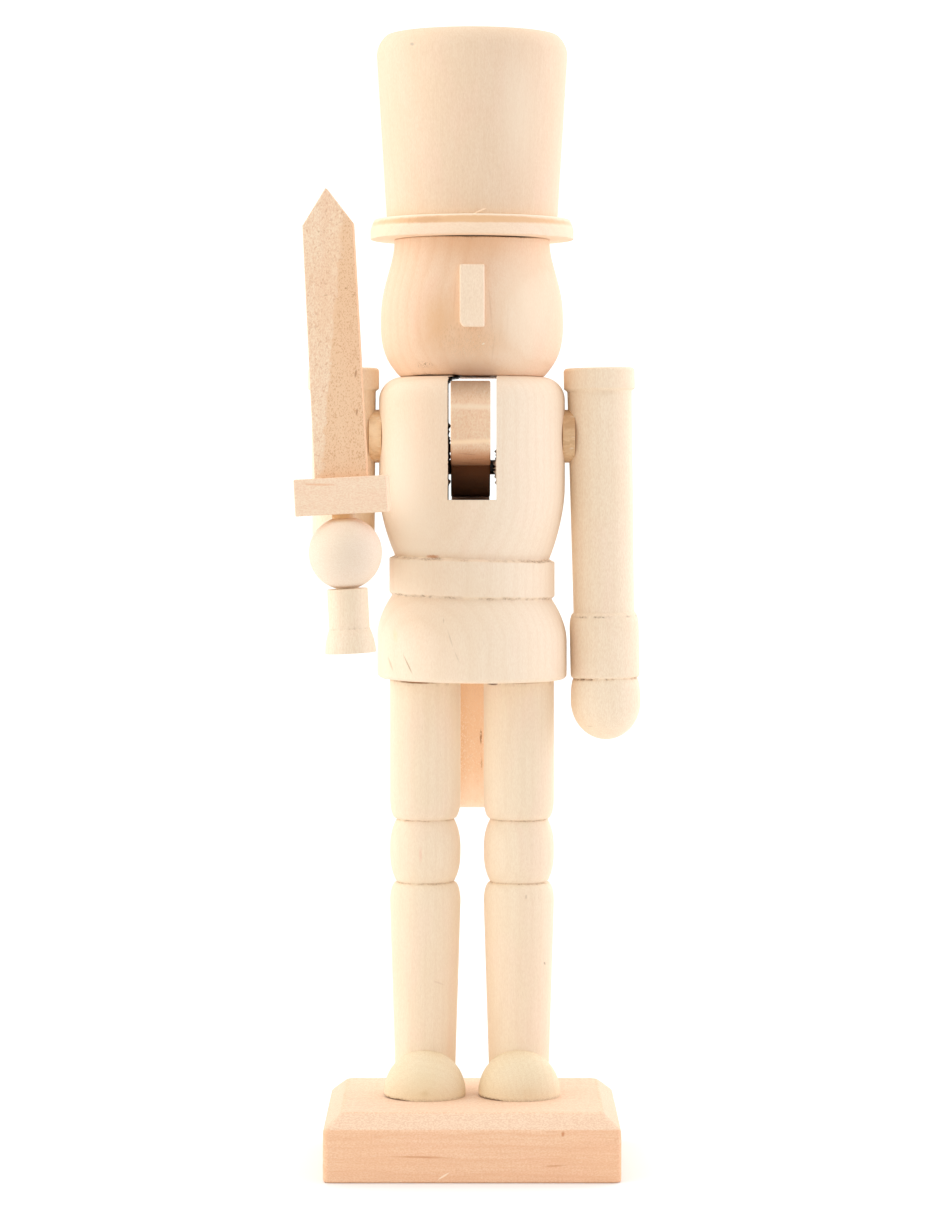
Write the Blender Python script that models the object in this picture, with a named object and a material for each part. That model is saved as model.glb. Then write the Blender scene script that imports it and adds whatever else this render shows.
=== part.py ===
"""Unpainted wooden nutcracker: a turned figure on a plinth, with a lever jaw and swivelling arms.

Metres, +Z up. The origin is the centre of the plinth's underside and the figure faces -Y.
Left and right are the figure's own, so the right arm, on the -X side, holds the sword.
"""

import math

import bmesh
import bpy
from mathutils import Matrix, Vector

# Clearances
GAP = 0.0003                  # between pieces that are glued or rest on each other
DOWEL_GAP = 0.0003            # between a dowel and its hole, on the radius

# Plinth
BASE_WIDTH = 0.0783
BASE_DEPTH = 0.0634
BASE_HEIGHT = 0.0178
BASE_CHAMFER_INSET = 0.0046
BASE_CHAMFER_DROP = 0.0040
FIGURE_SETBACK = 0.0070       # figure's axis behind the plinth's centre

# Feet: half eggs, turned along the foot and notched round the boot
FOOT_RADIUS = 0.0110
FOOT_TOE_LENGTH = 0.0103      # widest point to toe
FOOT_HEEL_LENGTH = 0.0150     # widest point to the uncut heel
FOOT_LEAD = 0.0082            # widest point ahead of the leg's axis
FOOT_SOLE_DROP = 0.0008       # sole below the egg's axis
FOOT_SPACE = 0.0035           # clear space between the two feet

# Legs
BOOT_HEIGHT = 0.0566
ANKLE_RADIUS = 0.0080
BOOT_RADIUS = 0.0096
BOOT_TOP_ROUND = 0.0052
KNEE_HEIGHT = 0.0171
KNEE_RADIUS = 0.0096
LEG_GROOVE_RADIUS = 0.0078
THIGH_HEIGHT = 0.0379
THIGH_RADIUS = 0.0096
THIGH_END_ROUND = 0.0056

# Body: chest, waist, belt and skirt turned from one piece
CHEST_HEIGHT = 0.0292
CHEST_RADIUS = 0.0253
SHOULDER_ROUND = 0.0063
WAIST_HEIGHT = 0.0198
WAIST_RADIUS = 0.0210
BELT_HEIGHT = 0.0094
BELT_RADIUS = 0.0225
BELT_GROOVE = 0.0007          # height of the groove above and below the belt
BELT_GROOVE_DEPTH = 0.0008
FLARE_HEIGHT = 0.0114
SKIRT_RADIUS = 0.0258
SKIRT_RIM_HEIGHT = 0.0108
SKIRT_EDGE_ROUND = 0.0015

# Jaw lever, its slot and its pin
LEVER_WIDTH = 0.0106
SLOT_SIDE_GAP = 0.0012
LEVER_SIDE_SHIFT = 0.0004     # lever towards the figure's right of the slot's middle
SLOT_DEPTH = 0.0332
PIVOT_RISE = 0.0087           # pin above the slot's floor
LEVER_FLOOR_GAP = 0.0006
JAW_TOP_DROP = 0.0015         # jaw's top below the body's top
JAW_INSET = 0.0005            # jaw's front behind the chest's front
JAW_OPEN_ANGLE = 25.0         # degrees, where the chin meets the slot's floor
JAW_TOP_ROUND = 0.0010
CHIN_ROUND = 0.0060
LEVER_TOP_LENGTH = 0.0030     # level top carried behind the pin
LEVER_TOP_SLOPE = 32.0        # degrees
LEVER_BACK_ROUND = 0.0140
TAIL_THICKNESS = 0.0095
TAIL_DROP = 0.0955            # tail's end below the pin
TAIL_END_ROUND = 0.0030
TAIL_CROOK_ROUND = 0.0015
PIN_RADIUS = 0.0020
PIN_COVER = 0.0050            # wood left over the pin's blind end

# Head and nose
HEAD_HEIGHT = 0.0368
HEAD_RADIUS = 0.0248
HEAD_CHEEK_HEIGHT = 0.0142    # widest point above the chin
HEAD_CHIN_RADIUS = 0.0195
HEAD_TOP_RADIUS = 0.0211
NOSE_WIDTH = 0.0066
NOSE_HEIGHT = 0.0168
NOSE_TOP_DROP = 0.0076        # nose's top below the head's top
NOSE_SEAT = 0.0033            # nose's back behind the cheek's front
NOSE_BRIDGE = 0.0008          # front of the nose ahead of the cheek, at its top
NOSE_TIP = 0.0036             # the same at its foot

# Hat
BRIM_THICKNESS = 0.0054
BRIM_RADIUS = 0.0277
BRIM_TOP_RADIUS = 0.0267
BRIM_BEVEL_HEIGHT = 0.0028
CROWN_HEIGHT = 0.0498
CROWN_FOOT_RADIUS = 0.0233
CROWN_RADIUS = 0.0260
CROWN_TOP_RADIUS = 0.0233
CROWN_EASE_HEIGHT = 0.0055    # rounded shoulder below the crown's top
HAT_DOWEL_RADIUS = 0.0040

# Arms: two like turnings, one straight and one sawn and glued square at the elbow
SHOULDER_DROP = 0.0161        # arm's pivot below the body's top
SPACER_RADIUS = 0.00725
SPACER_THICKNESS = 0.0034
CHEST_SPOT_DEPTH = 0.0011     # flat seat cut in the chest for the spacer
ARM_SPOT_DEPTH = 0.0019       # flat seat cut in the arm for the spacer
ARM_RISE = 0.0186             # arm's top above the pivot
CAP_HEIGHT = 0.0063
CAP_RADIUS = 0.0097
CAP_EDGE = 0.0006
ARM_TOP_RADIUS = 0.0088
ARM_WRIST_RADIUS = 0.0083
SHAFT_LENGTH = 0.0602         # cap to flare
CUFF_FLARE = 0.0041
CUFF_LENGTH = 0.0138
CUFF_RADIUS = 0.0095
CUFF_EDGE = 0.0012
HAND_GROOVE_RADIUS = 0.0086
HAND_NECK = 0.0062            # groove to the hand's widest point
HAND_RADIUS = 0.0096
HAND_TIP = 0.0107             # widest point to the end of the hand
CUFF_SKIRT_SPACE = 0.0008     # straight arm's cuff clear of the skirt
ELBOW_DROP = 0.0308           # forearm's axis below the pivot
FOREARM_YAW = 2.7             # degrees the forearm turns in across the body

# Sword, measured from the hand's centre
SWORD_LEAN = 3.0              # degrees the point leans away from the head
SWORD_YAW = 6.0               # degrees the blade turns about its own length
GUARD_RISE = 0.0102
GUARD_WIDTH = 0.0242
GUARD_HEIGHT = 0.0096
GUARD_DEPTH = 0.0110
BLADE_LENGTH = 0.0660         # guard to the point's shoulders
BLADE_FOOT_WIDTH = 0.0138
BLADE_TOP_WIDTH = 0.0132
BLADE_THICKNESS = 0.0050
BLADE_POINT = 0.0096
BLADE_TENON = 0.0040
GRIP_SEAT_DEPTH = 0.0006      # flat seat cut in the hand for the grip
HILT_RADIUS = 0.0053
HILT_LENGTH = 0.0104
POMMEL_RADIUS = 0.0067
POMMEL_LENGTH = 0.0064

# Dowels
DOWEL_RADIUS = 0.0030
DOWEL_DEPTH = 0.0095          # depth in each of the two pieces joined
ELBOW_DOWEL_RADIUS = 0.0024
ELBOW_DOWEL_DEPTH = 0.0065

# Curves
BEAD_FULLNESS = 2.6           # power of the knee's bulge: 2 is a parabola, more is fuller
CHEEK_FULLNESS = 2.5          # power of the head's lower round: 2 is an ellipse, more is squarer
BROW_SLOPE = 1.25             # power that keeps the cheeks full before the head narrows to the brim
FLARE_START = 70.0            # degrees of arc where the cuff leaves the shaft
SWEEP_POWER = 1.9             # power of the waist's and skirt's curves: 2 is a parabola
SMOOTH_ANGLE = 35.0           # degrees

# Facets
BODY_SIDES = 36
LIMB_SIDES = 24
FOOT_SIDES = 28
DOWEL_SIDES = 12
SMALL_STEPS = 3
ARC_STEPS = 4
CURVE_STEPS = 8
MERGE_DISTANCE = 0.000001     # corners closer than this are one

# Woods and metal: colour, roughness, metallic
TURNED_WOOD = ((0.90, 0.76, 0.56), 0.60, 0.0)
HEAD_WOOD = ((0.86, 0.65, 0.43), 0.60, 0.0)
BOARD_WOOD = ((0.89, 0.60, 0.40), 0.65, 0.0)
BRIM_WOOD = ((0.90, 0.70, 0.49), 0.62, 0.0)
DOWEL_WOOD = ((0.82, 0.64, 0.44), 0.60, 0.0)
PIN_STEEL = ((0.55, 0.55, 0.56), 0.35, 1.0)

# Places that follow from the sizes above
base_top = BASE_HEIGHT
leg_x = FOOT_RADIUS + FOOT_SPACE / 2
leg_foot = base_top + GAP
leg_length = BOOT_HEIGHT + KNEE_HEIGHT + THIGH_HEIGHT
body_foot = leg_foot + leg_length + GAP
belt_zone = BELT_HEIGHT + 2 * BELT_GROOVE
body_height = CHEST_HEIGHT + WAIST_HEIGHT + belt_zone + FLARE_HEIGHT + SKIRT_RIM_HEIGHT
body_top = body_foot + body_height
head_foot = body_top + GAP
head_top = head_foot + HEAD_HEIGHT
brim_foot = head_top + GAP
brim_top = brim_foot + BRIM_THICKNESS
crown_foot = brim_top + GAP

slot_width = LEVER_WIDTH + 2 * SLOT_SIDE_GAP
slot_floor = body_top - SLOT_DEPTH
pivot_z = slot_floor + PIVOT_RISE
neck_radius = CHEST_RADIUS - SHOULDER_ROUND
head_dowel_x = (slot_width / 2 + neck_radius) / 2

shoulder_z = body_top - SHOULDER_DROP
spacer_x = CHEST_RADIUS - CHEST_SPOT_DEPTH + GAP
arm_seat_x = spacer_x + SPACER_THICKNESS + GAP
shaft_fall = (ARM_RISE - CAP_HEIGHT) / SHAFT_LENGTH
arm_pivot_radius = ARM_TOP_RADIUS + (ARM_WRIST_RADIUS - ARM_TOP_RADIUS) * shaft_fall
arm_x = arm_seat_x + arm_pivot_radius - ARM_SPOT_DEPTH
cuff_top_drop = CAP_HEIGHT + SHAFT_LENGTH + CUFF_FLARE - ARM_RISE
hand_drop = cuff_top_drop + CUFF_LENGTH + HAND_NECK
skirt_full_drop = shoulder_z - (body_foot + SKIRT_RIM_HEIGHT)
arm_lean = math.atan2(SKIRT_RADIUS + CUFF_SKIRT_SPACE + CUFF_RADIUS - arm_x, skirt_full_drop)
forearm_length = hand_drop - ELBOW_DROP


def clear_scene():
    for obj in list(bpy.data.objects):
        bpy.data.objects.remove(obj, do_unlink=True)


def finish_material(obj, look):
    """Give the object a material of its own."""
    colour, roughness, metallic = look
    mat = bpy.data.materials.new(obj.name + "_finish")
    mat.use_nodes = True
    shader = mat.node_tree.nodes["Principled BSDF"]
    shader.inputs["Base Color"].default_value = (*colour, 1.0)
    shader.inputs["Roughness"].default_value = roughness
    shader.inputs["Metallic"].default_value = metallic
    mat.diffuse_color = (*colour, 1.0)
    obj.data.materials.append(mat)


def add_object(name, bm, look=None, parent=None, at=(0, 0, 0), turn=(0, 0, 0)):
    """Make a mesh object; one without a look is a cutter, which doesn't render."""
    bmesh.ops.recalc_face_normals(bm, faces=bm.faces)
    mesh = bpy.data.meshes.new(name)
    bm.to_mesh(mesh)
    bm.free()
    mesh.shade_smooth()
    mesh.set_sharp_from_angle(angle=math.radians(SMOOTH_ANGLE))
    obj = bpy.data.objects.new(name, mesh)
    bpy.context.scene.collection.objects.link(obj)
    obj.parent = parent
    obj.location = at
    obj.rotation_euler = turn
    if look:
        finish_material(obj, look)
    else:
        obj.hide_render = True
        obj.display_type = "WIRE"
    return obj


def add_empty(name, at, turn=(0, 0, 0), parent=None):
    obj = bpy.data.objects.new(name, None)
    bpy.context.scene.collection.objects.link(obj)
    obj.parent = parent
    obj.location = at
    obj.rotation_euler = turn
    return obj


def cut(obj, *cutters):
    for cutter in cutters:
        mod = obj.modifiers.new("cut_" + cutter.name, "BOOLEAN")
        mod.operation = "DIFFERENCE"
        mod.solver = "EXACT"
        mod.object = cutter


# Profiles: lists of (radius, height) from the top of a turning down to its foot

def arc(centre, radius_in, height_in, start, end, steps=ARC_STEPS):
    """Points of an elliptical arc about (radius, height), angles in degrees from outwards to up."""
    points = []
    for i in range(steps + 1):
        angle = math.radians(start + (end - start) * i / steps)
        points.append((centre[0] + radius_in * math.cos(angle), centre[1] + height_in * math.sin(angle)))
    return points


def sweep_curve(top, bottom, upright, steps=CURVE_STEPS):
    """A sweeping curve from top to bottom that is upright at one end, its top or its bottom."""
    points = []
    for i in range(steps + 1):
        down = i / steps
        across = down ** SWEEP_POWER if upright == "top" else 1 - (1 - down) ** SWEEP_POWER
        points.append((top[0] + (bottom[0] - top[0]) * across, top[1] + (bottom[1] - top[1]) * down))
    return points


def bead(top, bottom, groove_radius, radius, steps=CURVE_STEPS):
    """A full round bead between two grooves."""
    middle, half = (top + bottom) / 2, (top - bottom) / 2
    points = []
    for i in range(steps + 1):
        u = 1 - 2 * i / steps
        swell = 1 - abs(u) ** BEAD_FULLNESS
        points.append((groove_radius + (radius - groove_radius) * swell, middle + half * u))
    return points


def turn_mesh(profile, sides):
    """Spin a profile about Z into a closed solid."""
    bm = bmesh.new()
    points = [(0.0, profile[0][1])] + profile + [(0.0, profile[-1][1])]
    verts = []
    for radius, height in points:
        spot = Vector((radius, 0, height))
        if not verts or (verts[-1].co - spot).length > MERGE_DISTANCE:
            verts.append(bm.verts.new(spot))
    edges = [bm.edges.new(pair) for pair in zip(verts, verts[1:])]
    bmesh.ops.spin(bm, geom=verts + edges, cent=(0, 0, 0), axis=(0, 0, 1),
                   angle=2 * math.pi, steps=sides)
    bmesh.ops.remove_doubles(bm, verts=bm.verts, dist=MERGE_DISTANCE)
    # Half a facet round, so that holes on the X and Y axes start in a facet and not on an edge
    bmesh.ops.rotate(bm, verts=bm.verts, matrix=Matrix.Rotation(math.pi / sides, 3, "Z"))
    return bm


def rounded_outline(corners, steps=ARC_STEPS):
    """Corner points (u, v, radius) of a closed outline, with each corner turned into an arc."""
    points = []
    count = len(corners)
    for i, (u, v, radius) in enumerate(corners):
        here = Vector((u, v))
        to_last = (Vector(corners[i - 1][:2]) - here).normalized()
        to_next = (Vector(corners[(i + 1) % count][:2]) - here).normalized()
        if radius <= 0:
            points.append(here)
            continue
        half = to_last.angle(to_next) / 2
        centre = here + (to_last + to_next).normalized() * (radius / math.sin(half))
        first = here + to_last * (radius / math.tan(half)) - centre
        last = here + to_next * (radius / math.tan(half)) - centre
        swing = first.angle_signed(last)
        for k in range(steps + 1):
            points.append(centre + Matrix.Rotation(-swing * k / steps, 2) @ first)
    return points


def slab_mesh(outline, thickness, across):
    """Extrude an outline to a slab centred on its plane; across is the axis along its thickness."""
    bm = bmesh.new()
    half = thickness / 2
    if across == "x":
        verts = [bm.verts.new((-half, u, v)) for u, v in outline]
        push = Vector((thickness, 0, 0))
    else:
        verts = [bm.verts.new((u, -half, v)) for u, v in outline]
        push = Vector((0, thickness, 0))
    face = bm.faces.new(verts)
    pushed = bmesh.ops.extrude_face_region(bm, geom=[face])
    moved = [item for item in pushed["geom"] if isinstance(item, bmesh.types.BMVert)]
    bmesh.ops.translate(bm, verts=moved, vec=push)
    bmesh.ops.triangulate(bm, faces=[f for f in bm.faces if len(f.verts) > 4])
    return bm


def block_mesh(size, centre=(0, 0, 0)):
    bm = bmesh.new()
    bmesh.ops.create_cube(bm, size=1)
    bmesh.ops.scale(bm, verts=bm.verts, vec=size)
    bmesh.ops.translate(bm, verts=bm.verts, vec=centre)
    return bm


def rod_mesh(radius, low, high, axis="z", sides=DOWEL_SIDES, top_radius=None):
    """A straight or tapered rod along one axis, from low to high."""
    bm = bmesh.new()
    bmesh.ops.create_cone(bm, cap_ends=True, segments=sides, radius1=radius,
                          radius2=radius if top_radius is None else top_radius, depth=high - low)
    bmesh.ops.translate(bm, verts=bm.verts, vec=(0, 0, (low + high) / 2))
    if axis == "x":
        bmesh.ops.rotate(bm, verts=bm.verts, matrix=Matrix.Rotation(math.pi / 2, 3, "Y"))
    return bm


def dowel_joint(name, radius, reach, at, turn, parent, hosts):
    """A dowel along its own Z with the same reach into two pieces, and its hole in both."""
    add_object(name, rod_mesh(radius, -reach, reach), DOWEL_WOOD, parent, at, turn)
    hole = rod_mesh(radius + DOWEL_GAP, -reach - GAP, reach + GAP)
    hole_cutter = add_object(name + "_hole", hole, None, parent, at, turn)
    for host in hosts:
        cut(host, hole_cutter)


# Plinth, legs and feet

def build_plinth():
    top = BASE_HEIGHT
    rings = [(0.0, 0.0), (top - BASE_CHAMFER_DROP, 0.0), (top, BASE_CHAMFER_INSET)]
    bm = bmesh.new()
    loops = []
    for height, inset in rings:
        x, y = BASE_WIDTH / 2 - inset, BASE_DEPTH / 2 - inset
        loops.append([bm.verts.new((sx * x, sy * y, height))
                      for sx, sy in ((-1, -1), (1, -1), (1, 1), (-1, 1))])
    bm.faces.new(loops[0])
    bm.faces.new(loops[-1])
    for low, high in zip(loops, loops[1:]):
        for i in range(4):
            k = (i + 1) % 4
            bm.faces.new((low[i], low[k], high[k], high[i]))
    return add_object("base_plinth", bm, BOARD_WOOD)


def leg_profile():
    """Thigh, knee and boot, with the boot's foot at height 0."""
    knee_foot = BOOT_HEIGHT
    knee_top = knee_foot + KNEE_HEIGHT
    thigh_top = knee_top + THIGH_HEIGHT
    points = [(THIGH_RADIUS, thigh_top)]
    points += arc((LEG_GROOVE_RADIUS, knee_top + THIGH_END_ROUND),
                  THIGH_RADIUS - LEG_GROOVE_RADIUS, THIGH_END_ROUND, 0, -90)
    points += bead(knee_top, knee_foot, LEG_GROOVE_RADIUS, KNEE_RADIUS)[1:]
    points += arc((LEG_GROOVE_RADIUS, knee_foot - BOOT_TOP_ROUND),
                  BOOT_RADIUS - LEG_GROOVE_RADIUS, BOOT_TOP_ROUND, 90, 0)[1:]
    points.append((ANKLE_RADIUS, 0.0))
    return points


def build_leg(side, sign, plinth, body):
    place = (sign * leg_x, FIGURE_SETBACK, leg_foot)
    leg = add_object(side + "_leg", turn_mesh(leg_profile(), LIMB_SIDES), TURNED_WOOD, at=place)
    ankle = (place[0], place[1], leg_foot)
    hip = (place[0], place[1], leg_foot + leg_length)
    dowel_joint(side + "_ankle_dowel", DOWEL_RADIUS, DOWEL_DEPTH, ankle, (0, 0, 0), None, (leg, plinth))
    dowel_joint(side + "_hip_dowel", DOWEL_RADIUS, DOWEL_DEPTH, hip, (0, 0, 0), None, (leg, body))

    # The egg is turned along Z and laid down with its toe to the front
    egg = arc((0, 0), FOOT_RADIUS, FOOT_TOE_LENGTH, 90, 0, CURVE_STEPS)
    egg += arc((0, 0), FOOT_RADIUS, FOOT_HEEL_LENGTH, 0, -90, CURVE_STEPS)[1:]
    sole = base_top + GAP
    foot = add_object(side + "_foot", turn_mesh(egg[1:-1], FOOT_SIDES), TURNED_WOOD,
                      at=(place[0], FIGURE_SETBACK - FOOT_LEAD, sole + FOOT_SOLE_DROP),
                      turn=(math.pi / 2, 0, 0))
    span = 4 * FOOT_RADIUS
    below = block_mesh((span, span, span), (place[0], place[1], sole - span / 2))
    behind = block_mesh((span, span, span), (place[0], FIGURE_SETBACK + span / 2, sole))
    boot_straight = BOOT_HEIGHT - BOOT_TOP_ROUND
    notch = rod_mesh(ANKLE_RADIUS + GAP, 0, boot_straight, sides=LIMB_SIDES, top_radius=BOOT_RADIUS + GAP)
    cut(foot, add_object(side + "_foot_sole_cut", below),
        add_object(side + "_foot_heel_cut", behind),
        add_object(side + "_foot_notch", notch, at=place))


# Body, jaw, head and hat

def body_profile():
    """Chest, belt and skirt, with the skirt's foot at height 0."""
    top = body_height
    waist = top - CHEST_HEIGHT - WAIST_HEIGHT
    belt_top = waist - BELT_GROOVE
    belt_foot = belt_top - BELT_HEIGHT
    flare_top = belt_foot - BELT_GROOVE
    points = arc((neck_radius, top - SHOULDER_ROUND), SHOULDER_ROUND, SHOULDER_ROUND, 90, 0)
    points += sweep_curve((CHEST_RADIUS, top - CHEST_HEIGHT), (WAIST_RADIUS, waist), "top")
    points += [(BELT_RADIUS, belt_top), (BELT_RADIUS, belt_foot)]
    groove = (BELT_RADIUS - BELT_GROOVE_DEPTH, flare_top)
    points += sweep_curve(groove, (SKIRT_RADIUS, SKIRT_RIM_HEIGHT), "bottom")
    edge = SKIRT_EDGE_ROUND
    points += arc((SKIRT_RADIUS - edge, edge), edge, edge, 0, -90, SMALL_STEPS)
    return points


def build_body():
    body = add_object("body", turn_mesh(body_profile(), BODY_SIDES), TURNED_WOOD,
                      at=(0, FIGURE_SETBACK, body_foot))
    through = 4 * CHEST_RADIUS
    slot = block_mesh((slot_width, through, 2 * SLOT_DEPTH), (0, FIGURE_SETBACK, slot_floor + SLOT_DEPTH))
    cut(body, add_object("jaw_slot", slot))
    return body


def build_jaw(body):
    """The lever, its origin on the pin, and the pin that goes in from the figure's right side."""
    pivot = (0, FIGURE_SETBACK, pivot_z)
    front = -(CHEST_RADIUS - JAW_INSET)
    top = body_top - JAW_TOP_DROP - pivot_z
    hub = PIVOT_RISE - LEVER_FLOOR_GAP
    open_sin = math.sin(math.radians(JAW_OPEN_ANGLE))
    open_cos = math.cos(math.radians(JAW_OPEN_ANGLE))
    # The hub is round about the pin, and when the jaw is open its chin comes down as low as the hub
    chin_middle = -front - CHIN_ROUND
    chin = (CHIN_ROUND - hub + chin_middle * open_sin) / open_cos - CHIN_ROUND
    hub_start = 180 - math.degrees(math.asin(chin / hub))
    hub_round = [(y, z, 0.0) for y, z in arc((0, 0), hub, hub, hub_start, 270, CURVE_STEPS)]
    inner = SKIRT_RADIUS + GAP
    outer = inner + TAIL_THICKNESS
    back = top - (outer - LEVER_TOP_LENGTH) * math.tan(math.radians(LEVER_TOP_SLOPE))
    outline = rounded_outline([
        (front, top, JAW_TOP_ROUND),
        (front, chin, CHIN_ROUND),
        *hub_round,
        (inner, -hub, TAIL_CROOK_ROUND),
        (inner, -TAIL_DROP, TAIL_END_ROUND),
        (outer, -TAIL_DROP, TAIL_END_ROUND),
        (outer, back, LEVER_BACK_ROUND),
        (LEVER_TOP_LENGTH, top, LEVER_TOP_LENGTH),
    ])
    lever_place = (-LEVER_SIDE_SHIFT, FIGURE_SETBACK, pivot_z)
    lever = add_object("jaw_lever", slab_mesh(outline, LEVER_WIDTH, "x"), BOARD_WOOD, at=lever_place)

    pin_low = -(CHEST_RADIUS - CHEST_SPOT_DEPTH - PIN_RADIUS)
    pin_high = CHEST_RADIUS - PIN_COVER
    add_object("jaw_pin", rod_mesh(PIN_RADIUS, pin_low, pin_high, "x"), PIN_STEEL, at=pivot)
    hole = rod_mesh(PIN_RADIUS + DOWEL_GAP, -2 * CHEST_RADIUS, pin_high + GAP, "x")
    hole_cutter = add_object("jaw_pin_hole", hole, at=pivot)
    cut(lever, hole_cutter)
    cut(body, hole_cutter)


def head_profile():
    """Egg-shaped head: a squarish lower round, and an S-curve from the cheeks up to the brim."""
    rise = HEAD_HEIGHT - HEAD_CHEEK_HEIGHT
    power = CHEEK_FULLNESS
    share = 1 - (HEAD_CHIN_RADIUS / HEAD_RADIUS) ** power
    reach = HEAD_CHEEK_HEIGHT / share ** (1 / power)
    points = []
    for i in range(CURVE_STEPS):
        t = 1 - i / CURVE_STEPS
        blend = (1 + math.cos(math.pi * t ** BROW_SLOPE)) / 2
        radius = HEAD_TOP_RADIUS + (HEAD_RADIUS - HEAD_TOP_RADIUS) * blend
        points.append((radius, HEAD_CHEEK_HEIGHT + rise * t))
    for i in range(CURVE_STEPS + 1):
        drop = HEAD_CHEEK_HEIGHT * math.sin(math.pi / 2 * i / CURVE_STEPS)
        radius = HEAD_RADIUS * (1 - (drop / reach) ** power) ** (1 / power)
        points.append((radius, HEAD_CHEEK_HEIGHT - drop))
    return points


def build_head(body):
    head = add_object("head", turn_mesh(head_profile(), BODY_SIDES), HEAD_WOOD,
                      at=(0, FIGURE_SETBACK, head_foot))
    for side, sign in (("right", -1), ("left", 1)):
        place = (sign * head_dowel_x, FIGURE_SETBACK, head_foot)
        dowel_joint(side + "_head_dowel", DOWEL_RADIUS, DOWEL_DEPTH, place, (0, 0, 0), None, (head, body))

    nose_top = head_top - NOSE_TOP_DROP
    nose_foot = nose_top - NOSE_HEIGHT
    cheek = FIGURE_SETBACK - HEAD_RADIUS
    back = cheek + NOSE_SEAT
    wedge = [(back, nose_foot), (cheek - NOSE_TIP, nose_foot),
             (cheek - NOSE_BRIDGE, nose_top), (back, nose_top)]
    add_object("nose", slab_mesh(wedge, NOSE_WIDTH, "x"), TURNED_WOOD)
    depth = 2 * HEAD_RADIUS
    pocket = block_mesh((NOSE_WIDTH + 2 * GAP, depth, NOSE_HEIGHT + 2 * GAP),
                        (0, back + GAP - depth / 2, nose_foot + NOSE_HEIGHT / 2))
    cut(head, add_object("nose_pocket", pocket))
    return head


def build_hat(head):
    brim_profile = [(BRIM_TOP_RADIUS, BRIM_THICKNESS), (BRIM_RADIUS, BRIM_THICKNESS - BRIM_BEVEL_HEIGHT),
                    (BRIM_RADIUS, 0.0)]
    brim = add_object("hat_brim", turn_mesh(brim_profile, BODY_SIDES), BRIM_WOOD,
                      at=(0, FIGURE_SETBACK, brim_foot))
    # A round of large radius that leaves the wall upright and meets the flat top at an angle
    inset = CROWN_RADIUS - CROWN_TOP_RADIUS
    ease = (CROWN_EASE_HEIGHT ** 2 + inset ** 2) / (2 * inset)
    ease_angle = math.degrees(math.asin(CROWN_EASE_HEIGHT / ease))
    crown_profile = arc((CROWN_RADIUS - ease, CROWN_HEIGHT - CROWN_EASE_HEIGHT), ease, ease, ease_angle, 0)
    crown_profile.append((CROWN_FOOT_RADIUS, 0.0))
    crown = add_object("hat_crown", turn_mesh(crown_profile, BODY_SIDES), TURNED_WOOD,
                       at=(0, FIGURE_SETBACK, crown_foot))
    reach = DOWEL_DEPTH + BRIM_THICKNESS / 2
    middle = (0, FIGURE_SETBACK, (brim_foot + brim_top) / 2)
    dowel_joint("hat_dowel", HAT_DOWEL_RADIUS, reach, middle, (0, 0, 0), None, (head, brim, crown))


# Arms and sword

def arm_profile(top_drop=None, end_drop=None):
    """Cap, shaft, cuff and hand, with heights counted from the shoulder's pivot.

    top_drop replaces the cap by a plain shaft end at that drop below the pivot;
    end_drop leaves out the cuff and hand below that drop.
    """
    cap_foot = ARM_RISE - CAP_HEIGHT
    flare_top = cap_foot - SHAFT_LENGTH
    cuff_top = flare_top - CUFF_FLARE
    groove = cuff_top - CUFF_LENGTH
    widest = groove - HAND_NECK

    def shaft_radius(height):
        return ARM_TOP_RADIUS + (ARM_WRIST_RADIUS - ARM_TOP_RADIUS) * (cap_foot - height) / SHAFT_LENGTH

    if top_drop is None:
        points = [(CAP_RADIUS - CAP_EDGE, ARM_RISE), (CAP_RADIUS, ARM_RISE - CAP_EDGE),
                  (CAP_RADIUS, cap_foot + CAP_EDGE), (ARM_TOP_RADIUS, cap_foot)]
    else:
        points = [(shaft_radius(-top_drop), -top_drop)]
    if end_drop is not None:
        return points + [(shaft_radius(-end_drop), -end_drop)]
    points.append((ARM_WRIST_RADIUS, flare_top))
    points += arc((ARM_WRIST_RADIUS, cuff_top), CUFF_RADIUS - ARM_WRIST_RADIUS, CUFF_FLARE,
                  FLARE_START, 0, SMALL_STEPS)
    points += arc((HAND_GROOVE_RADIUS, groove + CUFF_EDGE), CUFF_RADIUS - HAND_GROOVE_RADIUS, CUFF_EDGE,
                  0, -90, SMALL_STEPS)
    points += arc((HAND_GROOVE_RADIUS, widest), HAND_RADIUS - HAND_GROOVE_RADIUS, HAND_NECK, 90, 0)[1:]
    points += arc((0, widest), HAND_RADIUS, HAND_TIP, 0, -90, CURVE_STEPS)[1:-1]
    return points


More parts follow.
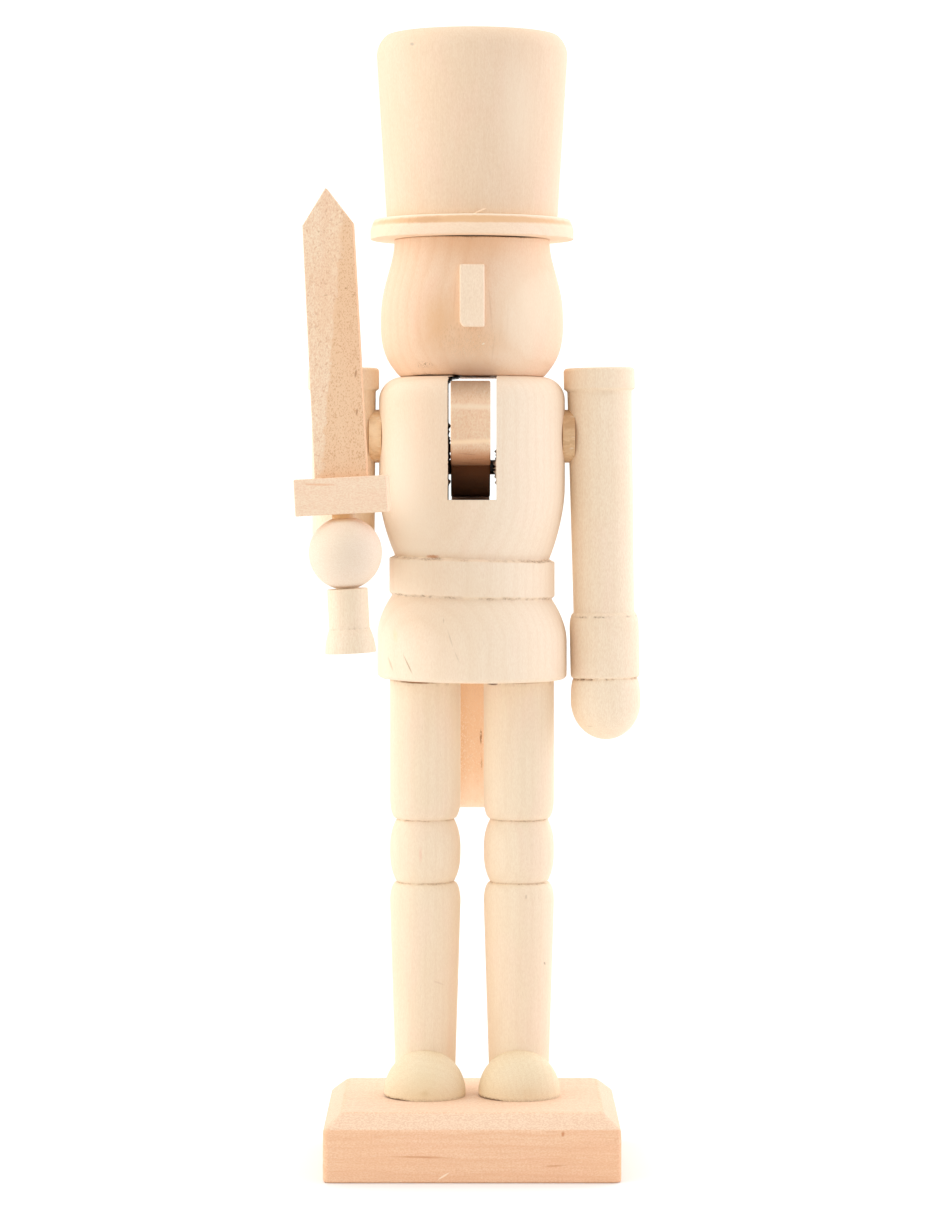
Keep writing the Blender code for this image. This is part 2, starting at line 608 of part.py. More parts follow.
def build_shoulder(side, sign, body):
    """The empty on the arm's pivot, the spacer disc, the dowel and the seats cut for them."""
    place = (0, FIGURE_SETBACK, shoulder_z)
    pivot = add_empty(side + "_shoulder", place)
    out = (0, sign * math.pi / 2, 0)
    disc = rod_mesh(SPACER_RADIUS, spacer_x, spacer_x + SPACER_THICKNESS, sides=LIMB_SIDES)
    spacer = add_object(side + "_shoulder_spacer", disc, TURNED_WOOD, at=place, turn=out)
    low = spacer_x - GAP - DOWEL_DEPTH
    high = arm_seat_x + DOWEL_DEPTH
    add_object(side + "_shoulder_dowel", rod_mesh(DOWEL_RADIUS, low, high), DOWEL_WOOD, pivot, turn=out)
    hole = rod_mesh(DOWEL_RADIUS + DOWEL_GAP, low - GAP, high + GAP)
    hole_cutter = add_object(side + "_shoulder_hole", hole, None, pivot, turn=out)
    seat_radius = SPACER_RADIUS + GAP
    chest_seat = rod_mesh(seat_radius, spacer_x - GAP, spacer_x + 2 * CHEST_SPOT_DEPTH, sides=LIMB_SIDES)
    arm_seat = rod_mesh(seat_radius, arm_seat_x - 2 * ARM_SPOT_DEPTH, arm_seat_x, sides=LIMB_SIDES)
    cut(body, add_object(side + "_chest_seat", chest_seat, at=place, turn=out), hole_cutter)
    cut(spacer, hole_cutter)
    seat_cutter = add_object(side + "_arm_seat", arm_seat, None, pivot, turn=out)
    return pivot, (seat_cutter, hole_cutter)


def build_left_arm(body):
    pivot, cutters = build_shoulder("left", 1, body)
    arm = add_object("left_arm", turn_mesh(arm_profile(), LIMB_SIDES), TURNED_WOOD, pivot,
                     at=(arm_x, 0, 0), turn=(0, -arm_lean, 0))
    cut(arm, *cutters)


def build_right_arm(body):
    """Upper arm and forearm, mitred at 45 degrees on the elbow."""
    pivot, cutters = build_shoulder("right", -1, body)
    overlap = 2 * ARM_TOP_RADIUS
    upper = add_object("right_upper_arm", turn_mesh(arm_profile(None, ELBOW_DROP + overlap), LIMB_SIDES),
                       TURNED_WOOD, pivot, at=(-arm_x, 0, 0))
    elbow = add_empty("right_elbow", (-arm_x, 0, -ELBOW_DROP), (0, 0, math.radians(FOREARM_YAW)), pivot)
    # In the elbow's frame the forearm runs along -Y and the mitre plane slopes up towards the front
    fore_mesh = turn_mesh(arm_profile(ELBOW_DROP - overlap), LIMB_SIDES)
    bmesh.ops.translate(fore_mesh, verts=fore_mesh.verts, vec=(0, 0, ELBOW_DROP))
    fore = add_object("right_forearm", fore_mesh, TURNED_WOOD, elbow, turn=(-math.pi / 2, 0, 0))
    cut(upper, *cutters)

    size = 8 * ARM_TOP_RADIUS
    mitre_turn = (math.radians(-45), 0, 0)
    half_gap = GAP / 2
    lower_side = block_mesh((size, size, size), (0, 0, half_gap - size / 2))
    upper_side = block_mesh((size, size, size), (0, 0, size / 2 - half_gap))
    cut(upper, add_object("elbow_mitre_lower", lower_side, None, elbow, turn=mitre_turn))
    cut(fore, add_object("elbow_mitre_upper", upper_side, None, elbow, turn=mitre_turn))
    dowel_joint("right_elbow_dowel", ELBOW_DOWEL_RADIUS, ELBOW_DOWEL_DEPTH, (0, 0, 0), mitre_turn, elbow,
                (upper, fore))
    return elbow, fore


def build_sword(elbow, forearm):
    """Blade tenoned in the guard; the turned hilt's peg goes up through the hand into the guard."""
    lean = math.radians(-SWORD_LEAN)
    yaw = math.radians(-SWORD_YAW)
    grip = add_empty("sword_grip", (0, -forearm_length, 0), (0, lean, yaw), elbow)
    guard_top = GUARD_RISE + GUARD_HEIGHT
    peg_top = GUARD_RISE + DOWEL_RADIUS

    guard = add_object("sword_guard", block_mesh((GUARD_WIDTH, GUARD_DEPTH, GUARD_HEIGHT),
                                                 (0, 0, GUARD_RISE + GUARD_HEIGHT / 2)), BOARD_WOOD, grip)
    foot, shoulder = guard_top - BLADE_TENON, guard_top + BLADE_LENGTH
    half_foot, half_top = BLADE_FOOT_WIDTH / 2, BLADE_TOP_WIDTH / 2
    blade = [(-half_foot, foot), (half_foot, foot), (half_top, shoulder), (0, shoulder + BLADE_POINT),
             (-half_top, shoulder)]
    add_object("sword_blade", slab_mesh(blade, BLADE_THICKNESS, "y"), BOARD_WOOD, grip)
    mortise = block_mesh((BLADE_FOOT_WIDTH + 2 * GAP, BLADE_THICKNESS + 2 * GAP, 2 * BLADE_TENON),
                         (0, 0, foot - GAP + BLADE_TENON))
    cut(guard, add_object("blade_mortise", mortise, None, grip))

    # The grip's shoulder bears in a flat seat under the hand
    bearing = HAND_RADIUS - GRIP_SEAT_DEPTH + GAP
    pommel_top = -bearing - HILT_LENGTH
    pommel_foot = pommel_top - POMMEL_LENGTH
    hilt = [(DOWEL_RADIUS, peg_top), (DOWEL_RADIUS, -bearing),
            (HILT_RADIUS, -bearing), (HILT_RADIUS, pommel_top)]
    hilt += sweep_curve((HILT_RADIUS, pommel_top), (POMMEL_RADIUS, pommel_foot), "bottom", ARC_STEPS)[1:]
    add_object("sword_hilt", turn_mesh(hilt, LIMB_SIDES), TURNED_WOOD, grip)
    hole = rod_mesh(DOWEL_RADIUS + DOWEL_GAP, -2 * HAND_RADIUS, peg_top + GAP, sides=LIMB_SIDES)
    hole_cutter = add_object("hilt_hole", hole, None, grip)
    seat = rod_mesh(HILT_RADIUS + GAP, -2 * HAND_RADIUS, GAP - bearing, sides=LIMB_SIDES)
    cut(forearm, add_object("grip_seat", seat, None, grip), hole_cutter)
    cut(guard, hole_cutter)


def main():
    clear_scene()
    plinth = build_plinth()
    body = build_body()
    for side, sign in (("right", -1), ("left", 1)):
        build_leg(side, sign, plinth, body)
    build_jaw(body)
    head = build_head(body)
    build_hat(head)
    build_left_arm(body)
    elbow, forearm = build_right_arm(body)
    build_sword(elbow, forearm)
    bpy.context.view_layer.update()


main()
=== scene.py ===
import bmesh
import bpy
import numpy as np
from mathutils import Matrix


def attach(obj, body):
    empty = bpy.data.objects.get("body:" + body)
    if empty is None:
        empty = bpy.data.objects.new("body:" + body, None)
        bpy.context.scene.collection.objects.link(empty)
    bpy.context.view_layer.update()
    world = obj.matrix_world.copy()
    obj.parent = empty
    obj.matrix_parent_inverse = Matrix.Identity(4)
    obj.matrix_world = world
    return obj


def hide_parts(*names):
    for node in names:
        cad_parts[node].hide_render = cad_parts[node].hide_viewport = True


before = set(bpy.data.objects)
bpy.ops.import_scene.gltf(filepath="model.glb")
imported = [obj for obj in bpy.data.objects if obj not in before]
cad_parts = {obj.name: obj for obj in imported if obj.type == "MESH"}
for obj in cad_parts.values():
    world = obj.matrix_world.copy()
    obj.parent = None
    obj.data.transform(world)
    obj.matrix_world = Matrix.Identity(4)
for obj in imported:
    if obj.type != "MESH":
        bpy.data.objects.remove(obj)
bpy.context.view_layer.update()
print("frame loaded:", len(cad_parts), "nodes")

mm = 0.001
figureY = 7.0          # the figure's axis stands this far behind the plinth's centre
smoothAngle = 40.0     # degrees
jointSeat = 0.27       # a glued piece's skin reaches this far across the 0.3 mm joint
wornEdge = {"segments": 3, "turnedAngle": 50.0, "boardAngle": 40.0}
welding = {"reach": 2e-6, "smallest": 1e-7}     # metres
# how a tool cuts round a turning; waves are lowest, highest and fade of waver
cutting = {"poleEase": 4.0, "flatWaves": (2, 5), "shareWaves": (2, 40, 0.5), "driftWaves": (2, 40, 0.4),
           "drift": 0.25, "deepest": 1.15, "darkPower": 1.5}


# Profiles and turnings

# even steps along a polyline of (radius, height), corners rounded by a Gaussian of width soften,
# then fewer rows where the line runs straight
def fineProfile(points, soften=0.25, straight=1.6, bend=7.0, fine=0.1):
    pts = np.asarray(points, float)
    gaps = np.hypot(*np.diff(pts, axis=0).T)
    pts = pts[np.r_[True, gaps > 1e-6]]
    run = np.r_[0.0, np.cumsum(np.hypot(*np.diff(pts, axis=0).T))]
    u = np.linspace(0.0, run[-1], int(run[-1] / fine) + 2)
    line = np.stack([np.interp(u, run, pts[:, k]) for k in (0, 1)], axis=1)
    half = max(1, int(3 * soften / fine))
    bell = np.exp(-0.5 * (np.arange(-half, half + 1) * fine / soften) ** 2)
    bell /= bell.sum()
    ends = (2 * line[0] - line[half:0:-1], 2 * line[-1] - line[-2:-half - 2:-1])
    padded = np.concatenate([ends[0], line, ends[1]])
    line = np.stack([np.convolve(padded[:, k], bell, "valid") for k in (0, 1)], axis=1)
    step = np.diff(line, axis=0)
    heading = np.unwrap(np.arctan2(step[:, 1], step[:, 0]))
    turning = np.abs(np.diff(heading, prepend=heading[0]))
    cost = np.cumsum(np.hypot(*step.T) / straight + np.degrees(turning) / bend)
    wanted = np.linspace(0.0, cost[-1], int(cost[-1]) + 2)
    rows = np.unique(np.searchsorted(cost, wanted[:-1]))
    return line[np.unique(np.r_[0, rows, len(line) - 1])]


# points of an elliptical arc about (radius, height), from outwards (0 degrees) towards up (90)
def arcPoints(centre, across, up, start, end, count=24):
    a = np.radians(np.linspace(start, end, count))
    return np.stack([centre[0] + across * np.cos(a), centre[1] + up * np.sin(a)], axis=1)


# sweep between two points by a power of the height, upright at its top or at its bottom
def sweepPoints(top, bottom, upright, power=1.9, count=32):
    down = np.linspace(0.0, 1.0, count)
    across = down ** power if upright == "top" else 1 - (1 - down) ** power
    return np.stack([top[0] + (bottom[0] - top[0]) * across, top[1] + (bottom[1] - top[1]) * down], axis=1)


# random sum of waves round the turning, closed on itself, with unit spread
def waver(theta, seed, lowest=1, highest=24, fade=0.5):
    rng = np.random.default_rng(seed)
    k = np.arange(lowest, highest + 1)
    size = rng.normal(size=len(k)) / k ** fade
    phase = rng.uniform(0, 2 * np.pi, len(k))
    wave = (size[:, None] * np.cos(k[:, None] * theta[None, :] + phase[:, None])).sum(axis=0)
    return wave / wave.std()


# rises from 0 at start to 1 one fade further on; a negative fade makes it rise the other way
def easeIn(value, start, fade):
    return np.clip((value - start) / fade, 0, 1)


# quads of a grid of rows x cols vertices; wrapped closes the last column onto the first
def gridQuads(rows, cols, wrapped=False, first=0):
    i = np.arange(rows - 1)[:, None]
    j = np.arange(cols if wrapped else cols - 1)[None, :]
    k = (j + 1) % cols
    loops = np.broadcast_arrays(i * cols + j, (i + 1) * cols + j, (i + 1) * cols + k, i * cols + k)
    return first + np.stack(loops, axis=-1).reshape(-1, 4)


# fans that close a wrapped grid: its first row onto vertex top, its last row onto vertex foot
def poleFans(rows, cols, top, foot):
    j = np.arange(cols)
    k = (j + 1) % cols
    last = (rows - 1) * cols
    upper = np.stack([np.full(cols, top), j, k], axis=1)
    lower = np.stack([np.full(cols, foot), last + k, last + j], axis=1)
    return np.concatenate([upper, lower])


# turning: row i, spoke j is (r[i,j] cos t[j], r[i,j] sin t[j], h[i,j]), first and last rows drawn to a pole
def latheMesh(radius, height, theta):
    rows, cols = radius.shape
    x, y = radius * np.cos(theta), radius * np.sin(theta)
    body = np.stack([x, y, height], axis=-1)[1:-1].reshape(-1, 3)
    poles = np.array([[0, 0, height[0].mean()], [0, 0, height[-1].mean()]])
    fans = poleFans(rows - 2, cols, len(body), len(body) + 1)
    return np.concatenate([body, poles]), gridQuads(rows - 2, cols, True), fans


# values on the full grid of a turning in the order of its vertices
def latheValues(grid):
    return np.concatenate([grid[1:-1].ravel(), [grid[0].mean(), grid[-1].mean()]])


# turn a profile into a turning; each groove (height, depth, width, dirt, vary) is cut deep and shallow round
# the piece by a random share, and its grime follows the depth; a groove of no depth cuts nothing and only
# lays a dark line, which at the joints where it is used is painted shade
def turnPiece(profile, spokes, grooves=(), seed=1, flat=0.03):
    theta = np.linspace(0.0, 2 * np.pi, spokes, endpoint=False)
    radius = np.repeat(profile[:, :1], spokes, axis=1)
    height = np.repeat(profile[:, 1:], spokes, axis=1)
    grimeAndShade = np.zeros_like(radius)
    body = np.minimum(profile[:, :1] / cutting["poleEase"], 1.0)       # no change near the poles
    radius = radius + flat * body * waver(theta, seed, *cutting["flatWaves"])[None, :]
    for n, (level, depth, width, dirtAndShade, vary) in enumerate(grooves):
        wave = waver(theta, seed * 31 + n, *cutting["shareWaves"])
        share = np.clip(1 - vary + vary * wave, 0.0, cutting["deepest"])
        drift = cutting["drift"] * width * waver(theta, seed * 47 + n, *cutting["driftWaves"])
        bell = np.exp(-((height - level - drift[None, :]) / width) ** 2) * body
        radius = radius - depth * share[None, :] * bell
        grimeAndShade = np.maximum(grimeAndShade, dirtAndShade * share[None, :] ** cutting["darkPower"] * bell)
    return theta, radius, height, grimeAndShade


def toWorld(verts, turn=None, place=(0.0, 0.0, 0.0)):
    moved = verts if turn is None else verts @ np.asarray(turn).T
    return moved + np.asarray(place)


# right-handed turn about one axis, angle in degrees
def rot(axis, angle):
    a = np.radians(angle)
    i, j = {"x": (1, 2), "y": (2, 0), "z": (0, 1)}[axis]
    turn = np.eye(3)
    turn[[i, j], [i, j]] = np.cos(a)
    turn[i, j], turn[j, i] = -np.sin(a), np.sin(a)
    return turn


# Pieces from arrays

def tidyMesh(mesh, weld=False):
    bm = bmesh.new()
    bm.from_mesh(mesh)
    if weld:
        bmesh.ops.remove_doubles(bm, verts=bm.verts, dist=welding["reach"])
        bmesh.ops.dissolve_degenerate(bm, edges=bm.edges, dist=welding["smallest"])
    bmesh.ops.recalc_face_normals(bm, faces=bm.faces)
    bm.to_mesh(mesh)
    bm.free()


# object at the origin with worn edges, riding on its CAD body in place of the CAD nodes
def placePiece(name, mesh, body, nodes, material, bevel, bevelAngle):
    mesh.shade_smooth()
    mesh.set_sharp_from_angle(angle=np.radians(smoothAngle))
    piece = bpy.data.objects.new(name, mesh)
    bpy.context.scene.collection.objects.link(piece)
    piece.data.materials.append(material)
    if bevel:
        mod = piece.modifiers.new("worn edges", "BEVEL")
        mod.width = bevel * mm
        mod.segments = wornEdge["segments"]
        mod.limit_method = "ANGLE"
        mod.angle_limit = np.radians(bevelAngle)
        mod.harden_normals = True
    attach(piece, body)
    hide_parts(*nodes)


def addPiece(name, verts, quads, tris, body, nodes, slotName, material, grimeAndShade=None, bevel=None, weld=False):
    mesh = bpy.data.meshes.new(name)
    quads, tris = np.asarray(quads).reshape(-1, 4), np.asarray(tris, int).reshape(-1, 3)
    corners = np.concatenate([quads.ravel(), tris.ravel()]).astype(np.int32)
    sizes = np.concatenate([np.full(len(quads), 4), np.full(len(tris), 3)])
    mesh.vertices.add(len(verts))
    mesh.vertices.foreach_set("co", (np.asarray(verts) * mm).astype(np.float32).ravel())
    mesh.loops.add(len(corners))
    mesh.loops.foreach_set("vertex_index", corners)
    mesh.polygons.add(len(sizes))
    mesh.polygons.foreach_set("loop_start", (np.cumsum(sizes) - sizes).astype(np.int32))
    mesh.update(calc_edges=True)
    mesh.attributes.new("grimeAndShade", "FLOAT", "POINT")
    values = np.zeros(len(verts)) if grimeAndShade is None else grimeAndShade
    mesh.attributes["grimeAndShade"].data.foreach_set("value", np.asarray(values, np.float32))
    if weld:
        tidyMesh(mesh, weld)
    mesh.validate()
    placePiece(name, mesh, body, nodes, material, bevel, wornEdge["turnedAngle"])


# what turnPiece gives, as a piece
def addTurning(name, turned, turn, place, body, nodes, slotName, material):
    theta, radius, height, grimeAndShade = turned
    verts, quads, tris = latheMesh(radius, height, theta)
    verts = toWorld(verts, turn, place)
    addPiece(name, verts, quads, tris, body, nodes, slotName, material, latheValues(grimeAndShade))


# outline carried straight across the board's thickness; axes says which of X, Y, Z its u, v and thickness are
def boardPiece(name, outline, low, high, axes, turn, place, body, nodes, material, edge):
    n = len(outline)
    verts = np.zeros((2 * n, 3))
    verts[:n, axes[0]] = verts[n:, axes[0]] = outline[:, 0]
    verts[:n, axes[1]] = verts[n:, axes[1]] = outline[:, 1]
    verts[:n, axes[2]], verts[n:, axes[2]] = low, high
    verts = toWorld(verts, turn, place)
    mesh = bpy.data.meshes.new(name)
    i = np.arange(n)
    k = (i + 1) % n
    sides = np.stack([i, k, k + n, i + n], axis=1)
    faces = sides.tolist() + [i[::-1].tolist(), (i + n).tolist()]
    mesh.from_pydata((verts * mm).tolist(), [], faces)
    tidyMesh(mesh)
    mesh.attributes.new("grimeAndShade", "FLOAT", "POINT")
    placePiece(name, mesh, body, nodes, material, edge, wornEdge["boardAngle"])


# Shader nodes

def addNode(tree, kind, inputs=None, **settings):
    node = tree.nodes.new(kind)
    for key, value in settings.items():
        setattr(node, key, value)
    for key, value in (inputs or {}).items():
        socket = node.inputs[key]
        if isinstance(value, bpy.types.NodeSocket):
            tree.links.new(value, socket)
        else:
            socket.default_value = value
    return node


def mathNode(tree, operation, a, b=0.0, clamp=False):
    return addNode(tree, "ShaderNodeMath", {0: a, 1: b}, operation=operation, use_clamp=clamp).outputs[0]


def lengthNode(tree, vector):
    return addNode(tree, "ShaderNodeVectorMath", {0: vector}, operation="LENGTH").outputs["Value"]


# a Mix node's colours are its inputs 6 and 7 and its output 2
def mixColour(tree, share, a, b):
    node = addNode(tree, "ShaderNodeMix", {0: share}, data_type="RGBA")
    for socket, value in ((node.inputs[6], a), (node.inputs[7], b)):
        if isinstance(value, bpy.types.NodeSocket):
            tree.links.new(value, socket)
        else:
            socket.default_value = (*value, 1.0)
    return node.outputs[2]


def rampNode(tree, factor, stops):
    node = addNode(tree, "ShaderNodeValToRGB", {0: factor})
    ramp = node.color_ramp
    while len(ramp.elements) < len(stops):
        ramp.elements.new(0.5)
    for element, (place, value) in zip(ramp.elements, stops):
        element.position = place
        element.color = (value, value, value, 1.0)
    return node.outputs[0]


# goes from first to last between two levels of the factor
def stepNode(tree, factor, low, high, first=0.0, last=1.0):
    return rampNode(tree, factor, ((0.0, first), (low, first), (high, last), (1.0, last)))


# Wood finishes

# noise drawn out along the grain: scale per millimetre, detail, roughness, distortion
grain = {"cloud": ((0.07, 0.07, 0.03), 2.0, 0.5, 0.0), "blush": ((0.11, 0.11, 0.05), 2.0, 0.5, 0.6),
         "sway": ((0.09, 0.09, 0.02), 3.0, 0.55, 0.0), "fibre": ((2.0, 2.0, 0.06), 3.0, 0.6, 0.0),
         "fray": ((0.55, 0.55, 0.4), 4.0, 0.65, 0.0)}
# noise levels between which a layer comes in or fades out, and how far past its start a fleck is full
levels = {"cloud": (0.4, 0.62), "blush": (0.5, 0.7), "fibre": (0.34, 0.62), "spark": (0.28, 0.38),
          "tooth": (0.36, 0.62), "crumb": (0.4, 0.58), "fleckFade": 0.07, "speckFade": 0.1}
# a year's share from early to late wood
yearRamp = ((0.0, 0.35), (0.12, 0.0), (0.55, 0.15), (0.9, 1.0), (1.0, 0.35))
# crumbs of grime and painted shade about half a millimetre across, and how much of the grime and shade lies
# between them
crumbs = {"scale": 1900.0, "detail": 2.0, "rough": 0.6, "between": 0.25}
# roughness that fibres add, how deep a fleck lies against their height, and that height in metres
relief = {"fibreRough": 0.16, "fleck": 0.5, "distance": 0.0002}


# millimetres from the pith line, turned so that the grain runs along Z
def grainSpot(tree, coord, look):
    turn = {"z": (0, 0, 0), "x": (0, -np.pi / 2, 0), "y": (np.pi / 2, 0, 0)}[look["along"]]
    px, py, pz = look["pith"]
    pith = {"z": (px, py, pz), "x": (-pz, py, px), "y": (px, -pz, py)}[look["along"]]
    return addNode(tree, "ShaderNodeMapping", {"Vector": coord, "Location": tuple(-c for c in pith),
                   "Rotation": turn, "Scale": (1 / mm, 1 / mm, 1 / mm)}).outputs[0]


# share of a soft ellipsoid with half sizes, turned about Y; fray pushes its edge in and out
def softSpot(tree, coord, place, size, turn, depth, soft, fray=None):
    local = addNode(tree, "ShaderNodeMapping", {"Vector": coord, "Location": tuple(c * mm for c in place),
                    "Rotation": (0, np.radians(turn), 0), "Scale": tuple(c * mm for c in size)},
                    vector_type="TEXTURE")
    away = lengthNode(tree, local.outputs[0])
    if fray is not None:
        away = mathNode(tree, "ADD", away, fray)
    return addNode(tree, "ShaderNodeMapRange", {"Value": away, "From Min": 1.0, "From Max": 1.0 - soft,
                   "To Min": 0.0, "To Max": depth}, interpolation_type="SMOOTHSTEP").outputs[0]


# raw wood: rings about a pith line, long fibre streaks, short pores, dark and pale flecks, soft cloudy tint,
# single marks of this very piece, among them painted light and painted shade as noted beside them,
# grime and painted shade from the mesh
def makeWood(name, look):
    mat = bpy.data.materials.new(name)
    mat.use_nodes = True
    tree = mat.node_tree
    shader = tree.nodes["Principled BSDF"]
    coord = addNode(tree, "ShaderNodeTexCoord").outputs["Object"]
    spot = grainSpot(tree, coord, look)

    def noise(scale, detail, rough, distort=0.0):
        shaped = addNode(tree, "ShaderNodeMapping", {"Vector": spot, "Scale": scale})
        return addNode(tree, "ShaderNodeTexNoise", {"Vector": shaped.outputs[0], "Scale": 1.0,
                       "Detail": detail, "Roughness": rough, "Distortion": distort}).outputs[0]

    def scaled(share, depth):
        return mathNode(tree, "MULTIPLY", share, depth)

    def layer(under, share, kind, stain):
        return mixColour(tree, scaled(share, look[kind + "Depth"]), under, look[stain])

    # years about the pith
    parts = addNode(tree, "ShaderNodeSeparateXYZ", {0: spot})
    flatSpot = addNode(tree, "ShaderNodeCombineXYZ", {0: parts.outputs[0], 1: parts.outputs[1], 2: 0.0})
    reach = lengthNode(tree, flatSpot.outputs[0])
    sway = scaled(noise(*grain["sway"]), look["sway"])
    year = mathNode(tree, "ADD", mathNode(tree, "DIVIDE", reach, look["ring"]), sway)
    ring = rampNode(tree, mathNode(tree, "FRACT", year), yearRamp)
    colour = layer(look["pale"], ring, "ring", "dark")
    # clouds of colour, then streaks along the fibres
    colour = layer(colour, stepNode(tree, noise(*grain["cloud"]), *levels["cloud"]), "tint", "tint")
    colour = layer(colour, stepNode(tree, noise(*grain["blush"]), *levels["blush"]), "blush", "blush")
    fibre = noise(*grain["fibre"])
    colour = layer(colour, stepNode(tree, fibre, *levels["fibre"], 1.0, 0.0), "fibre", "dark")
    # dark and pale flecks, then open pores of the sawn or turned surface, about a third of a millimetre
    fleckGrain = noise(look["fleckScale"], detail=2.0, rough=0.55, distort=look["fleckBend"])
    fleckEnd = look["fleckFrom"] + levels["fleckFade"]
    fleckMask = stepNode(tree, fleckGrain, look["fleckFrom"], fleckEnd)
    colour = layer(colour, fleckMask, "fleck", "fleck")
    colour = layer(colour, stepNode(tree, fleckGrain, *levels["spark"], 1.0, 0.0), "spark", "spark")
    tooth = noise(look["toothScale"], detail=2.0, rough=0.6)
    colour = layer(colour, stepNode(tree, tooth, *levels["tooth"], 1.0, 0.0), "tooth", "dark")

    # marks (place, half sizes, turn about Y, colour, depth, softness, raggedness)
    fray = mathNode(tree, "SUBTRACT", noise(*grain["fray"]), 0.5)
    for place, size, turn, stain, depth, soft, ragged in look["marks"]:
        inside = softSpot(tree, coord, place, size, turn, depth, soft, scaled(fray, 2 * ragged))
        colour = mixColour(tree, inside, colour, stain)
    # gritty zones (place, half sizes, turn about Y, colour, depth, softness, noise level where specks start)
    for place, size, turn, stain, depth, soft, start in look["grits"]:
        inside = softSpot(tree, coord, place, size, turn, depth, soft)
        speck = stepNode(tree, tooth, start, start + levels["speckFade"])
        colour = mixColour(tree, mathNode(tree, "MULTIPLY", inside, speck), colour, stain)

    # grime and painted shade break up into crumbs, and past 1 they turn to dark brown painted shade
    grimeAndShade = addNode(tree, "ShaderNodeAttribute", attribute_name="grimeAndShade").outputs["Fac"]
    crumb = addNode(tree, "ShaderNodeTexNoise", {"Vector": coord, "Scale": crumbs["scale"],
                    "Detail": crumbs["detail"], "Roughness": crumbs["rough"]}).outputs[0]
    crumb = stepNode(tree, crumb, *levels["crumb"], crumbs["between"], 1.0)
    colour = mixColour(tree, mathNode(tree, "MULTIPLY", grimeAndShade, crumb, True), colour, look["soil"])
    colour = mixColour(tree, mathNode(tree, "SUBTRACT", grimeAndShade, 1.0, True), colour, look["deepShade"])
    tree.links.new(colour, shader.inputs["Base Color"])

    smoothest = look["rough"] - relief["fibreRough"] / 2
    rough = mathNode(tree, "ADD", scaled(fibre, relief["fibreRough"]), smoothest)
    tree.links.new(rough, shader.inputs["Roughness"])
    shader.inputs["Specular IOR Level"].default_value = look["gloss"]
    raised = mathNode(tree, "SUBTRACT", fibre, scaled(fleckMask, relief["fleck"]))
    bump = addNode(tree, "ShaderNodeBump", {"Strength": look["bump"], "Distance": relief["distance"],
                   "Height": raised})
    tree.links.new(bump.outputs[0], shader.inputs["Normal"])
    return mat


baseLook = {
    "along": "z", "pith": (34.0, 52.0, 0.0), "ring": 2.6, "sway": 1.2, "ringDepth": 0.10,
    "pale": (0.89, 0.75, 0.585), "dark": (0.74, 0.53, 0.35), "tint": (0.87, 0.69, 0.49), "tintDepth": 0.35,
    "blush": (0.93, 0.70, 0.56), "blushDepth": 0.35, "fibreDepth": 0.08, "fleck": (0.60, 0.42, 0.28),
    "fleckFrom": 0.66, "fleckDepth": 0.16, "fleckScale": (2.4, 2.4, 0.5), "fleckBend": 0.0,
    "spark": (0.96, 0.86, 0.72), "sparkDepth": 0.12, "toothScale": (3.6, 3.6, 1.1), "toothDepth": 0.32,
    "soil": (0.25, 0.115, 0.04), "deepShade": (0.06, 0.022, 0.006), "rough": 0.62, "gloss": 0.25, "bump": 0.12,
    "marks": [], "grits": [],
}
beech = {
    "pale": (0.90, 0.64, 0.455), "dark": (0.76, 0.42, 0.25), "tint": (0.89, 0.58, 0.38), "tintDepth": 0.45,
    "blush": (0.92, 0.60, 0.44), "fleck": (0.58, 0.28, 0.15), "fleckFrom": 0.62, "fleckDepth": 0.28,
    "fleckScale": (1.5, 1.5, 0.7), "fleckBend": 0.6, "spark": (0.97, 0.80, 0.62), "sparkDepth": 0.2,
    "fibreDepth": 0.12, "ringDepth": 0.16, "ring": 3.2, "toothScale": (3.0, 3.0, 1.8), "toothDepth": 0.55,
    "rough": 0.68, "bump": 0.2,
}
brightest = 0.98


# tone scales a piece's wood colours channel by channel
def wood(name, kind=None, tone=(1.0, 1.0, 1.0), **changes):
    look = {**baseLook, **(kind or {}), **changes}
    for key in ("pale", "dark", "tint", "blush"):
        look[key] = tuple(min(c * t, brightest) for c, t in zip(look[key], tone))
    return makeWood(name, look)


bodyMarks = [
    ((-17.1, -12.2, 134.7), (0.28, 6.0, 3.9), -26, (0.44, 0.29, 0.16), 0.7, 0.8, 0.4),  # skirt scratch
    ((-21.9, -6.4, 134.6), (0.35, 6.0, 2.8), -20, (0.50, 0.36, 0.20), 0.5, 0.8, 0.3),  # fainter scratch
    ((-20.6, -8.7, 142.4), (0.90, 5.0, 2.6), -8, (0.90, 0.70, 0.42), 0.5, 1.0, 0.3),  # yellow smear
    ((-7.6, -17.4, 146.7), (0.22, 5.0, 1.2), -4, (0.58, 0.44, 0.30), 0.5, 0.8, 0.3),  # grain line, top
    ((-5.8, -17.8, 142.0), (0.28, 5.0, 3.2), -17, (0.60, 0.46, 0.31), 0.45, 0.9, 0.4),  # grain line, middle
    ((-4.0, -18.2, 137.1), (0.28, 5.0, 2.8), -24, (0.60, 0.46, 0.31), 0.4, 0.9, 0.4),  # grain line, foot
    ((-17.0, -10.0, 176.0), (14.0, 18.0, 34.0), 0, (0.93, 0.86, 0.72), 0.7, 1.0, 0.1),  # paler -X chest, painted light
    ((-10.7, -12.0, 163.6), (2.2, 6.0, 0.6), 0, (0.62, 0.26, 0.10), 0.7, 0.7, 0.6),  # orange in the cut
]
bodyWood = wood("turned body wood", tone=(1.05, 1.043, 1.048), tintDepth=0.25, blushDepth=0.2,
                toothDepth=0.24, ringDepth=0.14, marks=bodyMarks)
